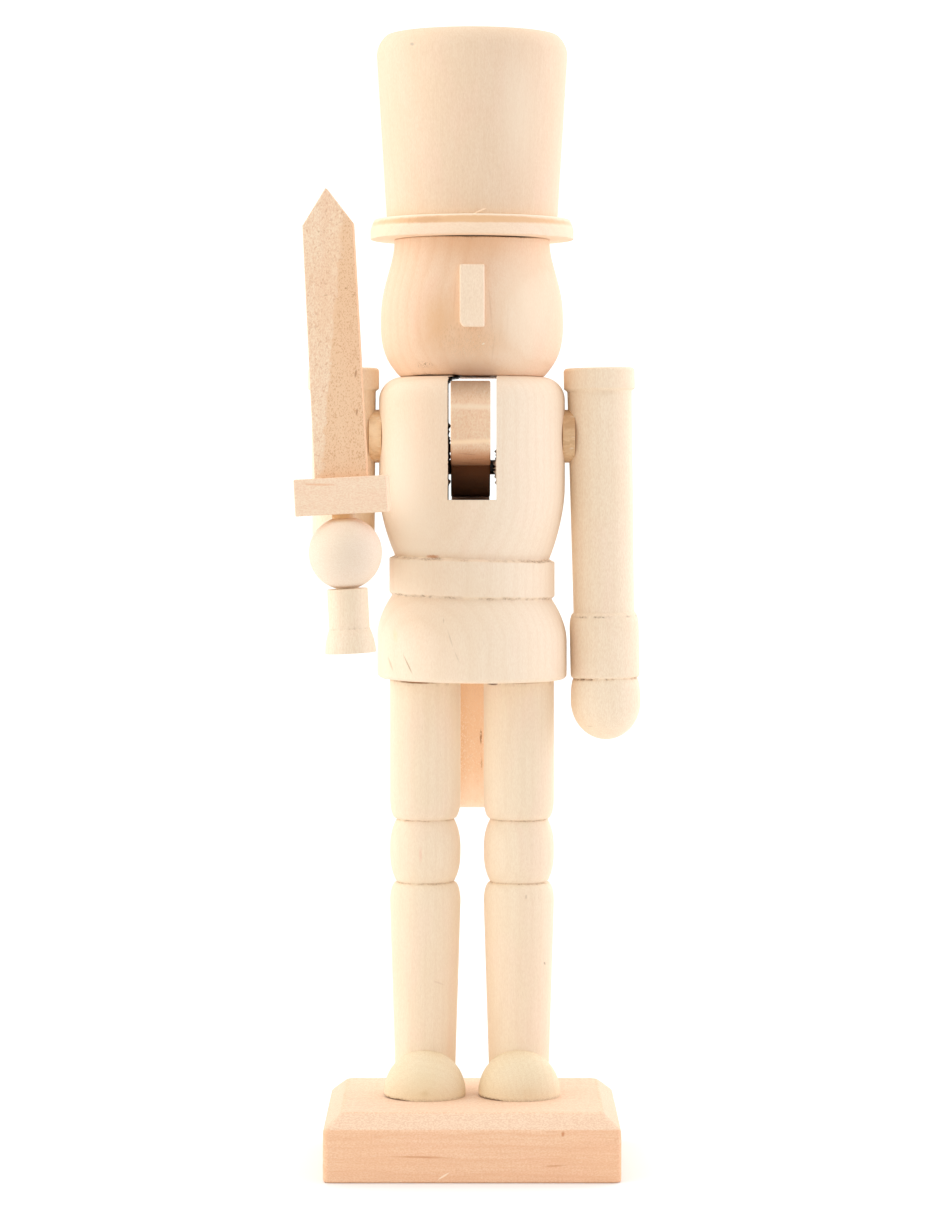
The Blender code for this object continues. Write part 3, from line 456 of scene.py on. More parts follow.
legMarks = [
    ((0.0, 4.0, 108.0), (8.5, 12.0, 26.0), 0, (0.99, 0.85, 0.67), 0.5, 1.0, 0.1),  # paler inner sides, painted light
    ((-14.6, -2.0, 129.4), (7.4, 10.0, 0.5), 1, (0.28, 0.13, 0.05), 0.9, 0.7, 0.3),  # right hip joint, painted shade under the skirt
    ((5.6, 2.0, 128.9), (1.8, 12.0, 0.6), 0, (0.12, 0.05, 0.02), 0.9, 0.6, 0.3),  # painted shade in the gap by the tail
    ((14.0, -2.0, 129.2), (7.5, 10.0, 0.4), 0, (0.50, 0.28, 0.14), 0.5, 0.8, 0.4),  # left hip joint, painted shade under the skirt
    ((-13.9, -2.5, 82.8), (0.7, 4.0, 2.8), 0, (0.86, 0.48, 0.34), 0.4, 0.9, 0.3),  # pink knee streak
    ((19.7, 0.4, 53.1), (0.3, 2.0, 0.6), -20, (0.36, 0.24, 0.15), 0.6, 0.5, 0.3),  # speck, left boot
    ((14.6, -2.2, 71.5), (0.3, 2.0, 0.8), 0, (0.45, 0.30, 0.20), 0.4, 0.7, 0.3),  # speck below the knee
    ((-8.8, -1.5, 48.0), (2.2, 4.0, 0.35), 25, (0.62, 0.40, 0.26), 0.3, 0.8, 0.5),  # slanting line
    ((-6.0, 0.0, 32.0), (1.6, 6.0, 12.0), 3, (0.86, 0.60, 0.42), 0.3, 1.0, 0.3),  # warm streak
]
legWood = wood("turned leg wood", tone=(1.012, 1.013, 1.006), pith=(60.0, 40.0, 0.0),
               pale=(0.90, 0.745, 0.565), toothDepth=0.26, fibreDepth=0.12, ringDepth=0.13, marks=legMarks)
armMarks = [
    ((36.0, -2.0, 207.6), (5.0, 4.0, 1.6), 0, (0.72, 0.53, 0.35), 0.3, 1.0, 0.9),  # darker just under the cap
    ((31.9, 0.0, 117.3), (1.1, 3.0, 0.3), 0, (0.50, 0.38, 0.24), 0.4, 0.7, 0.4),  # nick in the hand
    ((-27.5, 0.0, 170.5), (6.0, 10.0, 8.0), 0, (0.88, 0.59, 0.33), 0.6, 1.0, 0.2),  # warm upper arm, painted reflected light
]
armWood = wood("turned arm wood", tone=(1.06, 1.054, 1.058), pith=(-30.0, 60.0, 0.0),
               pale=(0.905, 0.765, 0.59), toothDepth=0.38, marks=armMarks)
forearmMarks = [
    ((-34.3, -36.0, 173.9), (5.2, 7.0, 1.3), 0, (0.80, 0.50, 0.22), 0.6, 0.8, 0.4),  # orange at the peg under the guard
]
forearmWood = wood("turned forearm wood", tone=(1, 0.996, 1.017), along="y", pith=(-36.5, 0.0, 151.0),
                   ring=1.7, pale=(0.87, 0.73, 0.575), ringDepth=0.05, fibreDepth=0.0, marks=forearmMarks)
crownMarks = [
    ((-16.0, -13.2, 300.4), (0.9, 3.0, 0.6), 20, (0.42, 0.35, 0.29), 0.55, 0.8, 0.4),  # grey knot
    ((12.5, -15.0, 282.0), (9.0, 14.0, 24.0), 0, (0.93, 0.78, 0.60), 0.45, 1.0, 0.1),  # paler +X side, painted light
]
crownWood = wood("hat crown wood", tone=(1.035, 1.008, 0.991), pith=(22.0, 70.0, 0.0),
                 pale=(0.84, 0.675, 0.51), tint=(0.83, 0.63, 0.44), blush=(0.87, 0.62, 0.48), fleckDepth=0.22,
                 fibreDepth=0.24, toothDepth=0.42, marks=crownMarks)
headMarks = [
    ((-9.0, -16.5, 226.0), (8.5, 11.0, 13.0), 10, (0.80, 0.48, 0.25), 0.6, 1.0, 0.3),  # brown -X cheek
    ((1.0, -17.0, 220.5), (12.0, 11.0, 6.5), 0, (0.80, 0.48, 0.26), 0.5, 1.0, 0.35),  # brown below the nose
    ((0.0, -15.0, 247.0), (17.0, 12.0, 7.0), 0, (0.82, 0.50, 0.27), 0.38, 1.0, 0.2),  # brown at the brim
    ((0.0, -13.0, 214.0), (17.0, 12.0, 4.5), 0, (0.78, 0.46, 0.25), 0.4, 1.0, 0.3),  # brown at the chin
    ((4.9, -17.4, 230.0), (0.40, 6.0, 7.0), -5, (0.68, 0.44, 0.27), 0.4, 0.9, 0.4),  # ring by the nose
    ((5.6, -17.0, 218.8), (0.40, 6.0, 5.5), 7, (0.68, 0.44, 0.27), 0.4, 0.9, 0.4),  # ring below it
    ((9.4, -16.0, 226.0), (0.45, 6.0, 9.0), 3, (0.74, 0.50, 0.32), 0.3, 1.0, 0.5),  # fainter ring
    ((-4.6, -17.6, 233.0), (0.40, 6.0, 8.0), 4, (0.68, 0.42, 0.24), 0.3, 1.0, 0.5),  # ring at -X
    ((3.0, -17.5, 220.3), (0.55, 4.0, 0.3), -30, (1.0, 0.93, 0.82), 0.8, 0.6, 0.4),  # pale chip
    ((15.0, -13.0, 231.0), (13.0, 22.0, 22.0), 0, (0.95, 0.79, 0.59), 0.55, 1.0, 0.1),  # paler +X cheek, painted light
]
headGrits = [
    ((-12.4, -10.0, 214.9), (3.6, 5.0, 1.4), 0, (0.40, 0.22, 0.11), 0.85, 0.6, 0.56),  # crumbs by the chin
    ((-1.0, -17.0, 221.5), (14.0, 12.0, 9.0), 0, (0.64, 0.38, 0.19), 0.55, 0.8, 0.5),  # dark grit
    ((0.0, -17.0, 220.0), (11.0, 12.0, 6.0), 0, (1.0, 0.84, 0.68), 0.45, 0.8, 0.58),  # pale grit
]
# the head's near-black soil colour paints the shade in its joints
headWood = wood("head wood", tone=(1.04, 1.008, 1.017), pith=(-30.0, 24.0, 0.0), ring=4.0, ringDepth=0.22,
                sway=1.6, pale=(0.86, 0.68, 0.50), dark=(0.72, 0.44, 0.23), tint=(0.84, 0.62, 0.43),
                blush=(0.87, 0.60, 0.44), soil=(0.10, 0.032, 0.006), toothDepth=0.26, marks=headMarks,
                grits=headGrits)
footMarks = [
    ((-12.6, -10.0, 19.9), (2.0, 6.0, 1.5), 0, (0.60, 0.42, 0.20), 0.5, 1.0, 0.4),  # knot, right toe
    ((-12.6, -10.0, 22.0), (10.0, 14.0, 8.0), 0, (0.82, 0.66, 0.42), 0.4, 1.0, 0.2),  # yellow right toe
    ((14.7, -10.0, 20.5), (3.5, 6.0, 2.2), 0, (0.78, 0.58, 0.36), 0.3, 1.0, 0.3),  # warm left toe
]
footWood = wood("foot wood", tone=(0.98, 0.967, 0.981), along="y", pith=(-13.0, 0.0, 15.0), ring=1.6,
                pale=(0.87, 0.745, 0.525), dark=(0.72, 0.53, 0.31), tint=(0.85, 0.69, 0.43),
                blush=(0.86, 0.70, 0.48), ringDepth=0.14, fibreDepth=0.0, toothDepth=0.4, marks=footMarks)
noseWood = wood("nose wood", tone=(1.04, 1.046, 1.053), pith=(0.0, -60.0, 0.0), pale=(0.93, 0.755, 0.575),
                tint=(0.93, 0.72, 0.55))
brimMarks = [
    ((0.0, 7.0, 253.35), (37.0, 400.0, 1.25), 0, (0.78, 0.44, 0.20), 0.72, 0.45, 0.2),  # tan bevel
    ((0.0, 7.0, 254.75), (400.0, 400.0, 0.35), 0, (0.97, 0.84, 0.66), 0.8, 0.5, 0.2),  # pale top edge, painted highlight
    ((-27.5, 5.0, 251.5), (9.0, 22.0, 5.0), 0, (0.84, 0.62, 0.43), 0.45, 1.0, 0.1),  # tan end
    ((27.5, 5.0, 251.5), (9.0, 22.0, 5.0), 0, (0.84, 0.62, 0.43), 0.45, 1.0, 0.1),  # tan end
    ((-13.0, -17.0, 253.3), (8.0, 12.0, 1.3), 0, (0.60, 0.32, 0.17), 0.4, 0.8, 0.6),  # rough patch
    ((0.0, 7.0, 249.4), (21.0, 21.0, 0.4), 0, (0.12, 0.04, 0.01), 0.9, 0.08, 0.0),  # painted shade of the brim's underside over the head
]
brimWood = wood("brim wood", tone=(1.13, 1.124, 1.14), along="x", pith=(0.0, 40.0, 300.0), ring=3.0,
                pale=(0.87, 0.68, 0.50), ringDepth=0.2, marks=brimMarks)
plinthMarks = [
    ((0.0, 0.0, 18.3), (400.0, 400.0, 0.62), 0, (0.82, 0.66, 0.525), 0.5, 0.3, 0.0),  # paler top, partly paler wood and partly painted light
    ((0.0, 0.0, 15.8), (400.0, 400.0, 2.05), 0, (0.77, 0.595, 0.45), 0.5, 0.25, 0.1),  # paler chamfer, partly paler wood and partly painted light
    ((-13.6, -31.7, 6.9), (9.5, 4.0, 0.45), 1, (0.62, 0.28, 0.14), 0.75, 0.9, 0.35),  # long streak
    ((21.7, -31.7, 4.6), (4.4, 4.0, 0.38), -3, (0.62, 0.28, 0.14), 0.7, 0.9, 0.35),  # short streak
    ((23.8, -31.7, 12.9), (0.7, 4.0, 1.0), 0, (0.58, 0.22, 0.09), 0.8, 0.7, 0.4),  # red knot
    ((21.0, -31.7, 13.5), (3.2, 4.0, 0.3), 0, (0.72, 0.38, 0.22), 0.45, 0.8, 0.4),  # streak beside it
    ((-7.5, -31.7, 1.9), (2.2, 4.0, 0.3), -32, (1.0, 0.87, 0.72), 0.6, 0.6, 0.2),  # pale nick
]
plinthGrits = [
    ((0.0, 0.0, 16.3), (400.0, 400.0, 2.5), 0, (0.98, 0.80, 0.62), 0.4, 0.1, 0.47),  # pale saw grain
    ((0.0, 0.0, 16.3), (400.0, 400.0, 2.3), 0, (0.76, 0.50, 0.31), 0.4, 0.1, 0.6),  # dark saw grain
]
plinthWood = wood("plinth beech", beech, tone=(1, 0.957, 0.905), along="x", pith=(0.0, 18.0, -42.0), ring=2.4,
                  sway=2.2, ringDepth=0.36, fibreDepth=0.28, fleckScale=(1.6, 1.6, 0.35), fleckDepth=0.14,
                  marks=plinthMarks, grits=plinthGrits)
bladeMarks = [
    ((3.8, -34.0, 225.0), (40.0, 200.0, 400.0), 5, (0.85, 0.54, 0.32), 0.58, 0.016, 0.07),  # heartwood side
    ((-30.3, -37.0, 211.8), (0.4, 4.0, 1.4), 8, (0.42, 0.19, 0.09), 0.7, 0.6, 0.3),  # upper knot
    ((-30.0, -37.0, 201.9), (0.4, 4.0, 1.2), 8, (0.42, 0.19, 0.09), 0.7, 0.6, 0.3),  # lower knot
    ((-32.9, -37.0, 234.1), (0.4, 4.0, 0.35), 0, (0.40, 0.18, 0.08), 0.7, 0.7, 0.3),  # speck
    ((-38.1, -37.0, 232.3), (0.8, 4.0, 0.22), -8, (0.50, 0.28, 0.15), 0.6, 0.7, 0.4),  # dash at -X
    ((-30.8, -37.0, 232.4), (0.8, 4.0, 0.22), 6, (0.50, 0.26, 0.13), 0.6, 0.7, 0.4),  # dash at +X
    ((-40.0, -37.0, 248.9), (0.4, 4.0, 0.4), 0, (0.50, 0.28, 0.15), 0.5, 0.8, 0.3),  # upper speck
]
bladeGrits = [
    ((3.8, -34.0, 225.0), (40.0, 200.0, 400.0), 5, (0.64, 0.33, 0.16), 0.68, 0.02, 0.52),  # gritty heartwood
]
bladeWood = wood("sword beech", beech, tone=(1.02, 1.06, 1.045), pith=(-16.0, -90.0, 0.0),
                 pale=(0.93, 0.725, 0.545), fleckScale=(1.4, 1.4, 0.8), fleckFrom=0.585, fleckBend=1.6,
                 fleckDepth=0.5, sparkDepth=0.5, marks=bladeMarks, grits=bladeGrits)
guardMarks = [
    ((-39.7, -39.0, 183.0), (5.6, 6.0, 0.42), 1, (0.82, 0.42, 0.22), 0.55, 0.7, 0.4),  # red streak
]
guardWood = wood("guard beech", beech, tone=(1.027, 1.04, 1.044), along="x", pith=(0.0, -60.0, 140.0),
                 pale=(0.91, 0.715, 0.53), tint=(0.90, 0.67, 0.48), fleckDepth=0.12, fibreDepth=0.05,
                 toothDepth=0.38, ringDepth=0.06, marks=guardMarks)
leverMarks = [
    ((-0.4, 38.0, 124.0), (60.0, 16.0, 24.0), 0, (0.80, 0.54, 0.345), 0.6, 0.5, 0.15),  # painted shade on the tail below the skirt
    ((-0.4, 38.0, 92.0), (60.0, 16.0, 13.0), 0, (0.97, 0.80, 0.65), 0.6, 0.8, 0.3),  # pale tail end, painted light
    ((2.5, 33.0, 112.0), (0.35, 4.0, 2.6), 0, (0.30, 0.13, 0.06), 0.8, 0.6, 0.3),  # dark streak, painted shade by the left thigh's edge
    ((2.7, 33.0, 104.6), (0.4, 4.0, 2.2), 0, (0.50, 0.26, 0.13), 0.6, 0.8, 0.3),  # fainter dark streak by the same edge
    ((-4.6, 33.0, 114.0), (5.5, 5.0, 40.0), 0, (0.66, 0.36, 0.17), 0.5, 1.0, 0.2),  # brown -X side, painted shade by the right thigh
    ((-0.4, -17.8, 212.5), (40.0, 14.0, 8.2), 0, (0.34, 0.18, 0.10), 1.0, 1.0, 0.1),  # brown top, painted shade under the head
    ((-0.4, -10.0, 176.0), (60.0, 34.0, 18.4), 0, (0.48, 0.16, 0.04), 0.7, 0.22, 0.02),  # red brown foot, painted shade
    ((-0.4, -10.0, 182.3), (60.0, 34.0, 10.5), 0, (0.15, 0.045, 0.018), 0.85, 0.94, 0.03),  # dark foot, painted shade
    ((-0.4, 0.0, 188.0), (60.0, 8.0, 5.0), 0, (0.48, 0.16, 0.05), 0.65, 0.9, 0.0),  # brown by the pin, lighter painted shade
    ((-0.4, -17.8, 187.4), (60.0, 7.0, 3.0), 0, (0.18, 0.06, 0.025), 0.6, 1.0, 0.0),  # dark lip, painted shade
    ((-0.4, 32.6, 178.6), (60.0, 1.2, 3.0), 0, (0.05, 0.02, 0.01), 0.95, 0.4, 0.0),  # painted shade on the tail by the slot's floor
    ((-0.4, -17.8, 211.2), (60.0, 14.0, 1.7), 0, (0.26, 0.12, 0.05), 0.6, 1.0, 0.1),  # dark top edge, painted shade under the head
    ((-0.4, -17.8, 203.6), (60.0, 14.0, 1.3), 1, (0.95, 0.76, 0.56), 0.8, 1.0, 0.1),  # pale band, painted highlight on a sanded facet
    ((-0.4, -17.8, 194.3), (60.0, 14.0, 1.1), -2, (0.99, 0.74, 0.50), 0.9, 1.0, 0.1),  # pale band, painted highlight on a sanded facet
    ((-1.6, -17.8, 191.0), (3.4, 14.0, 0.13), 4, (0.30, 0.12, 0.05), 0.5, 0.8, 0.3),  # scratch
    ((1.4, -17.8, 189.6), (3.0, 14.0, 0.12), -3, (0.24, 0.09, 0.04), 0.5, 0.8, 0.3),  # scratch
    ((-0.8, -17.8, 188.6), (3.8, 14.0, 0.13), 5, (0.20, 0.07, 0.03), 0.5, 0.8, 0.3),  # scratch
]
leverGrits = [
    ((-0.4, 38.0, 120.0), (60.0, 16.0, 30.0), 0, (0.66, 0.36, 0.19), 0.5, 0.3, 0.52),  # dark tail grit
    ((-0.4, 38.0, 108.0), (60.0, 16.0, 24.0), 0, (1.0, 0.84, 0.70), 0.5, 0.6, 0.55),  # pale tail grit
]
leverWood = wood("lever beech", beech, tone=(1.045, 1.098, 1.09), pith=(30.0, 60.0, 0.0),
                 pale=(0.84, 0.62, 0.44), marks=leverMarks, grits=leverGrits)
spacerMarks = [
    ((-26.2, 0.0, 197.0), (3.0, 14.0, 8.0), 0, (0.95, 0.76, 0.52), 0.7, 1.0, 0.5),  # paler right disc
]
spacerWood = wood("spacer wood", along="x", pith=(0.0, 30.0, 240.0), ring=2.2, pale=(0.84, 0.60, 0.36),
                  dark=(0.62, 0.36, 0.18), tint=(0.77, 0.48, 0.26), fleck=(0.50, 0.27, 0.12), ringDepth=0.4,
                  tintDepth=0.6, fleckScale=(0.55, 0.55, 0.35), fleckFrom=0.56, fleckDepth=0.35,
                  sparkDepth=0.5, marks=spacerMarks)
hiltMarks = [
    ((-34.6, -36.0, 174.9), (4.6, 9.0, 2.4), 0, (0.80, 0.47, 0.19), 0.85, 0.6, 0.4),  # orange at the peg under the guard
]
hiltWood = wood("hilt wood", tone=(1.04, 1.05, 1.047), pith=(-70.0, 10.0, 0.0), fibreDepth=0.2,
                toothDepth=0.4, marks=hiltMarks)
dowelWood = wood("dowel wood", pith=(5.0, 20.0, 0.0), dark=(0.70, 0.45, 0.26))
print("wood finishes made")


# Plinth

plinth = {"width": 78.3, "depth": 63.4, "height": 17.8, "inset": 4.6, "drop": 4.0, "corner": 1.7, "edge": 0.6,
          "underRun": 14.0, "topRun": 24.0, "straight": 2.4, "bend": 9.0, "cornerSteps": 7}


# rounded rectangle carried up through rings of (inset, height), those of the underside counted below 0;
# straight runs are split so that light and grain sit well, and top and bottom close in to the middle
def buildPlinth(p):
    a = np.linspace(0.0, np.pi / 2, p["cornerSteps"])
    quarter = np.stack([np.cos(a), np.sin(a)], axis=1)
    signs = np.array([[1, 1], [-1, 1], [-1, -1], [1, -1]])
    turns = [quarter, quarter[:, ::-1] * [-1, 1], quarter * [-1, -1], quarter[:, ::-1] * [1, -1]]
    top, r = p["height"], p["corner"]
    line = fineProfile([(-p["underRun"], 0.0), (0.0, 0.0), (0.0, top - p["drop"]), (p["inset"], top),
                        (p["topRun"], top)], p["edge"], p["straight"], p["bend"])
    rings = []
    for inset, level in line:
        half = np.array([p["width"] / 2, p["depth"] / 2]) - abs(inset)
        ring = np.concatenate([s * (half - r) + r * t for s, t in zip(signs, turns)])
        rings.append(np.column_stack([ring, np.full(len(ring), level)]))
    rings = np.array(rings)[::-1]            # from the top down, as the turnings run
    rows, cols = rings.shape[:2]
    verts = np.concatenate([rings.reshape(-1, 3), [[0, 0, top], [0, 0, 0]]])
    return verts, gridQuads(rows, cols, True), poleFans(rows, cols, rows * cols, rows * cols + 1)


addPiece("plinthBoard", *buildPlinth(plinth), "figure", ["base_plinth"], "plinth_board", plinthWood)
print("plinth done")


# Legs and feet

leg = {"x": 12.75, "foot": 18.1, "boot": 56.6, "ankleRadius": 8.0, "bootRadius": 9.6, "bootRound": 5.2,
       "knee": 17.1, "kneeRadius": 9.6, "grooveRadius": 7.8, "thigh": 37.9, "thighRadius": 9.6,
       "endRound": 5.6, "fullness": 2.6, "beadSteps": 48, "soften": 0.2, "spokes": 96,
       # depth, width, dirt, vary; the hip's line has no depth and is painted shade under the skirt
       "kneeCrease": (0.3, 0.2, 0.42, 0.25), "bootCrease": (0.3, 0.2, 0.4, 0.25),
       "hipShade": (0.0, 0.35, 0.7, 0.4)}


# thigh, knee bead and boot: the bead is groove + (radius - groove)(1 - |u|^fullness)
def legProfile(p):
    kneeFoot, kneeTop = p["boot"], p["boot"] + p["knee"]
    groove, top = p["grooveRadius"], kneeTop + p["thigh"]
    u = np.linspace(1.0, -1.0, p["beadSteps"])
    beadRadius = groove + (p["kneeRadius"] - groove) * (1 - np.abs(u) ** p["fullness"])
    beadHeight = (kneeTop + kneeFoot) / 2 + (kneeTop - kneeFoot) / 2 * u
    return np.concatenate([
        [(0.0, top), (p["thighRadius"], top)],
        arcPoints((groove, kneeTop + p["endRound"]), p["thighRadius"] - groove, p["endRound"], 0, -90),
        np.stack([beadRadius, beadHeight], axis=1),
        arcPoints((groove, kneeFoot - p["bootRound"]), p["bootRadius"] - groove, p["bootRound"], 90, 0),
        [(p["ankleRadius"], 0.0), (0.0, 0.0)]])


foot = {"radius": 11.0, "toe": 10.3, "lead": 8.2, "heel": 15.0, "soleDrop": 0.8, "sole": 18.1, "rows": 40,
        "cols": 56, "soil": 0.8, "soilRise": 0.6, "seatClean": 0.6,
        # from the egg's middle: where the joint below starts to close, and over what length
        "crack": (-6.4, 3.2)}


# half egg laid along Y: slice radius is an ellipse of the distance from the widest point, each slice an
# arc from sole to sole; the heel end is flat on the leg's axis plane
def buildFoot(p, x):
    s = 1 - np.cos(np.linspace(0.0, np.pi / 2, p["rows"] // 2))
    ahead = np.concatenate([-p["toe"] * (1 - s), np.linspace(0.0, p["lead"], p["rows"] // 2)[1:]])
    span = np.where(ahead < 0, p["toe"], p["heel"])
    r = p["radius"] * np.sqrt(np.clip(1 - (ahead / span) ** 2, 1e-4, 1))
    dip = np.arcsin(np.clip(p["soleDrop"] / r, 0, 1))
    t = np.linspace(0.0, 1.0, p["cols"])[None, :]
    angle = -dip[:, None] + (np.pi + 2 * dip[:, None]) * t
    y = np.broadcast_to((figureY - p["lead"] + ahead)[:, None], angle.shape)
    z = p["sole"] + p["soleDrop"] + r[:, None] * np.sin(angle)
    rows, cols = angle.shape
    verts = np.stack([x + r[:, None] * np.cos(angle), y, np.maximum(z, p["sole"])], axis=-1).reshape(-1, 3)
    i = np.arange(rows - 1)
    sole = np.stack([i * cols, i * cols + cols - 1, (i + 1) * cols + cols - 1, (i + 1) * cols], axis=1)
    j = np.arange(1, cols - 1)
    last = (rows - 1) * cols
    heel = np.stack([np.full(cols - 2, last), last + j, last + j + 1], axis=1)
    toe = np.stack([np.zeros(cols - 2, int), j + 1, j], axis=1)
    # a dark line along the sole is painted shade where the foot meets the plinth, weaker where the sole is
    # set down
    grimeAndShade = p["soil"] * np.clip(1 - (verts[:, 2] - p["sole"]) / p["soilRise"], 0, 1) ** 2
    # the sole is down on the plinth, but for a crack left open towards -X
    down = easeIn(verts[:, 0] - x, *p["crack"])
    verts[:, 2] -= jointSeat * down * (verts[:, 2] < p["sole"] + 1e-4)
    grimeAndShade = grimeAndShade * (1 - p["seatClean"] * down)
    return verts, np.concatenate([gridQuads(rows, cols), sole]), np.concatenate([heel, toe]), grimeAndShade


legLine = fineProfile(legProfile(leg), leg["soften"])
kneeTop = leg["boot"] + leg["knee"]
creases = [(kneeTop, *leg["kneeCrease"]), (leg["boot"], *leg["bootCrease"]),
           (kneeTop + leg["thigh"], *leg["hipShade"])]
for side, sign, seed in (("right", -1, 11), ("left", 1, 12)):
    x = sign * leg["x"]
    addTurning(side + "LegTurning", turnPiece(legLine, leg["spokes"], creases, seed), None,
               (x, figureY, leg["foot"]), "figure", [side + "_leg"], "turned_basswood", legWood)
    verts, quads, tris, grimeAndShade = buildFoot(foot, x)
    addPiece(side + "FootEgg", verts, quads, tris, "figure", [side + "_foot"], "foot_wood", footWood, grimeAndShade,
             weld=True)
print("legs and feet done")


# Body with the jaw's slot

trunk = {"foot": 130.0, "height": 82.0, "chest": 29.2, "chestRadius": 25.3, "shoulderRound": 6.3,
         "waist": 19.8, "waistRadius": 21.0, "belt": 9.4, "beltRadius": 22.5, "groove": 0.7,
         "grooveDepth": 0.8, "skirtRadius": 25.8, "rim": 10.8, "edgeRound": 1.5, "slotWidth": 13.0,
         "slotDepth": 33.2, "edge": 0.3, "soften": 0.18, "straight": 1.4, "wallStep": 0.5, "wallTop": 0.2,
         "arcCols": 150, "slotCols": 30, "wallCols": 40, "topRows": 8}
# cuts above and below the belt
beltCut = {"depth": 0.3, "width": 0.3, "dirtAndShade": (0.62, 0.75), "share": 0.58, "vary": 0.45, "deepest": 1.2,
           "drift": 0.3, "shareWaves": (2, 60, 0.45), "driftWaves": (3, 70, 0.3)}
# belt and skirt were turned a little out of true: they drop towards +X, less so at the rim
tilt = {"angle": 1.6, "top": 46.0, "fade": 12.0, "rim": 8.0, "rimShare": 0.7}
slot = {
    # torn fibres, coloured dark as painted shade in the gaps by the lever: which wall, reach into the slot,
    # lowest and highest
    "torn": ((-1, 0.75, 52.5, 69.8), (1, 1.0, 52.8, 62.4), (-1, 3.2, 80.6, 83.2)), "tornShare": 0.75,
    "tornVary": 0.5, "tornWaves": (3, 40, 0.2), "tornShade": 2.0, "tornFront": (-0.6, 0.6),
    # painted shade of the -X wall, dark brown past 1: below the fibres, in a band above them, everywhere else
    "shadeLow": 1.7, "shadeBand": 0.9, "deepShade": 2.0, "bandRise": (0.5, 8.5), "shadeFront": (-1.0, 0.15),
    # painted shade on the floor, where the lever stands over it
    "floorShade": 2.5, "floorMiddle": -0.4, "floorHalf": 5.4, "floorFront": (-0.9, 0.2),
    # towards the back the +X wall eases outwards and the floor down
    "wallEase": 0.35, "wallReach": 4.0, "floorEase": 0.45, "floorReach": 6.0}


def trunkProfile(p):
    top, e = p["height"], p["edgeRound"]
    waist = top - p["chest"] - p["waist"]
    beltTop, beltFoot = waist - p["groove"], waist - p["groove"] - p["belt"]
    neck = p["chestRadius"] - p["shoulderRound"]
    skirtTop = (p["beltRadius"] - p["grooveDepth"], beltFoot - p["groove"])
    return np.concatenate([
        arcPoints((neck, top - p["shoulderRound"]), p["shoulderRound"], p["shoulderRound"], 90, 0),
        sweepPoints((p["chestRadius"], top - p["chest"]), (p["waistRadius"], waist), "top"),
        [(p["beltRadius"], beltTop), (p["beltRadius"], beltFoot)],
        sweepPoints(skirtTop, (p["skirtRadius"], p["rim"]), "bottom"),
        arcPoints((p["skirtRadius"] - e, e), e, e, 0, -90),
        [(0.0, 0.0)]])


# whole rings below the slot's floor
def skirtRings(p, lower, theta, seed):
    radius = np.repeat(lower[:, :1], len(theta), axis=1)
    height = np.repeat(lower[:, 1:], len(theta), axis=1)
    grimeAndShade = np.zeros_like(radius)
    waist = p["height"] - p["chest"] - p["waist"]
    middles = (waist - p["groove"] * 0.5, waist - p["belt"] - p["groove"] * 1.5)
    for n, (middle, dirtAndShade) in enumerate(zip(middles, beltCut["dirtAndShade"])):
        wave = waver(theta, seed + n, *beltCut["shareWaves"])
        share = np.clip(beltCut["share"] + beltCut["vary"] * wave, 0.0, beltCut["deepest"])
        drift = beltCut["drift"] * beltCut["width"] * waver(theta, seed + 9 + n, *beltCut["driftWaves"])
        bell = np.exp(-((height - middle - drift) / beltCut["width"]) ** 2)
        radius = radius - beltCut["depth"] * share * bell
        grimeAndShade = np.maximum(grimeAndShade, dirtAndShade * share * bell)
    atRim = easeIn(height, tilt["rim"], -tilt["rim"])
    slant = easeIn(height, tilt["top"], -tilt["fade"]) * (1 - tilt["rimShare"] * atRim)
    height = height - np.tan(np.radians(tilt["angle"])) * slant * radius * np.cos(theta)
    return radius, height, grimeAndShade


# grime and painted shade of one slot wall at heights z and shares w from its front (-1) to its back (1);
# the fibres' span and the whole -X wall are painted dark as shade
def wallShade(sign, z, w):
    low, high = [span[2:] for span in slot["torn"] if span[0] == sign][0]
    soil = slot["tornShade"] * easeIn(w[None, :], *slot["tornFront"]) * ((z > low) & (z < high))[:, None]
    inBand = (z > high + slot["bandRise"][0]) & (z < high + slot["bandRise"][1])
    shaded = np.where(z < low, slot["shadeLow"], np.where(inBand, slot["shadeBand"], slot["deepShade"]))
    return np.maximum(soil, shaded[:, None] * easeIn(w[None, :], *slot["shadeFront"]) * (sign < 0))


# torn fibres stand out of the walls, a random share per height, fullest half way back; painted dark, they
# stand for shade in the gaps by the lever
def easeSlot(p, verts, floor, seed):
    h = p["slotWidth"] / 2
    x, y, z = verts.T.copy()
    aft = np.clip(y / (2 * p["chestRadius"]) + 0.5, 0, 1)
    above = np.clip(1 - (floor - z) / slot["floorReach"], 0, 1)
    verts[:, 0] += slot["wallEase"] * aft * above * np.clip(1 - np.abs(x - h) / slot["wallReach"], 0, 1)
    verts[:, 2] -= slot["floorEase"] * aft * np.clip(1 - np.abs(z - floor) / slot["floorReach"], 0, 1)
    for side, reach, low, high in slot["torn"]:
        wave = waver((z - low) / (high - low) * np.pi, seed + 5, *slot["tornWaves"])
        ragged = np.clip(slot["tornShare"] + slot["tornVary"] * wave, 0, 1)
        inSpan = np.clip(z - low, 0, 1) * np.clip(high - z, 0, 1)
        onWall = (np.abs(x - side * h) < 1e-4) & (z > floor + 0.1)
        verts[:, 0] -= side * reach * onWall * inSpan * ragged * np.clip(2 - 4 * np.abs(aft - 0.5), 0, 1)


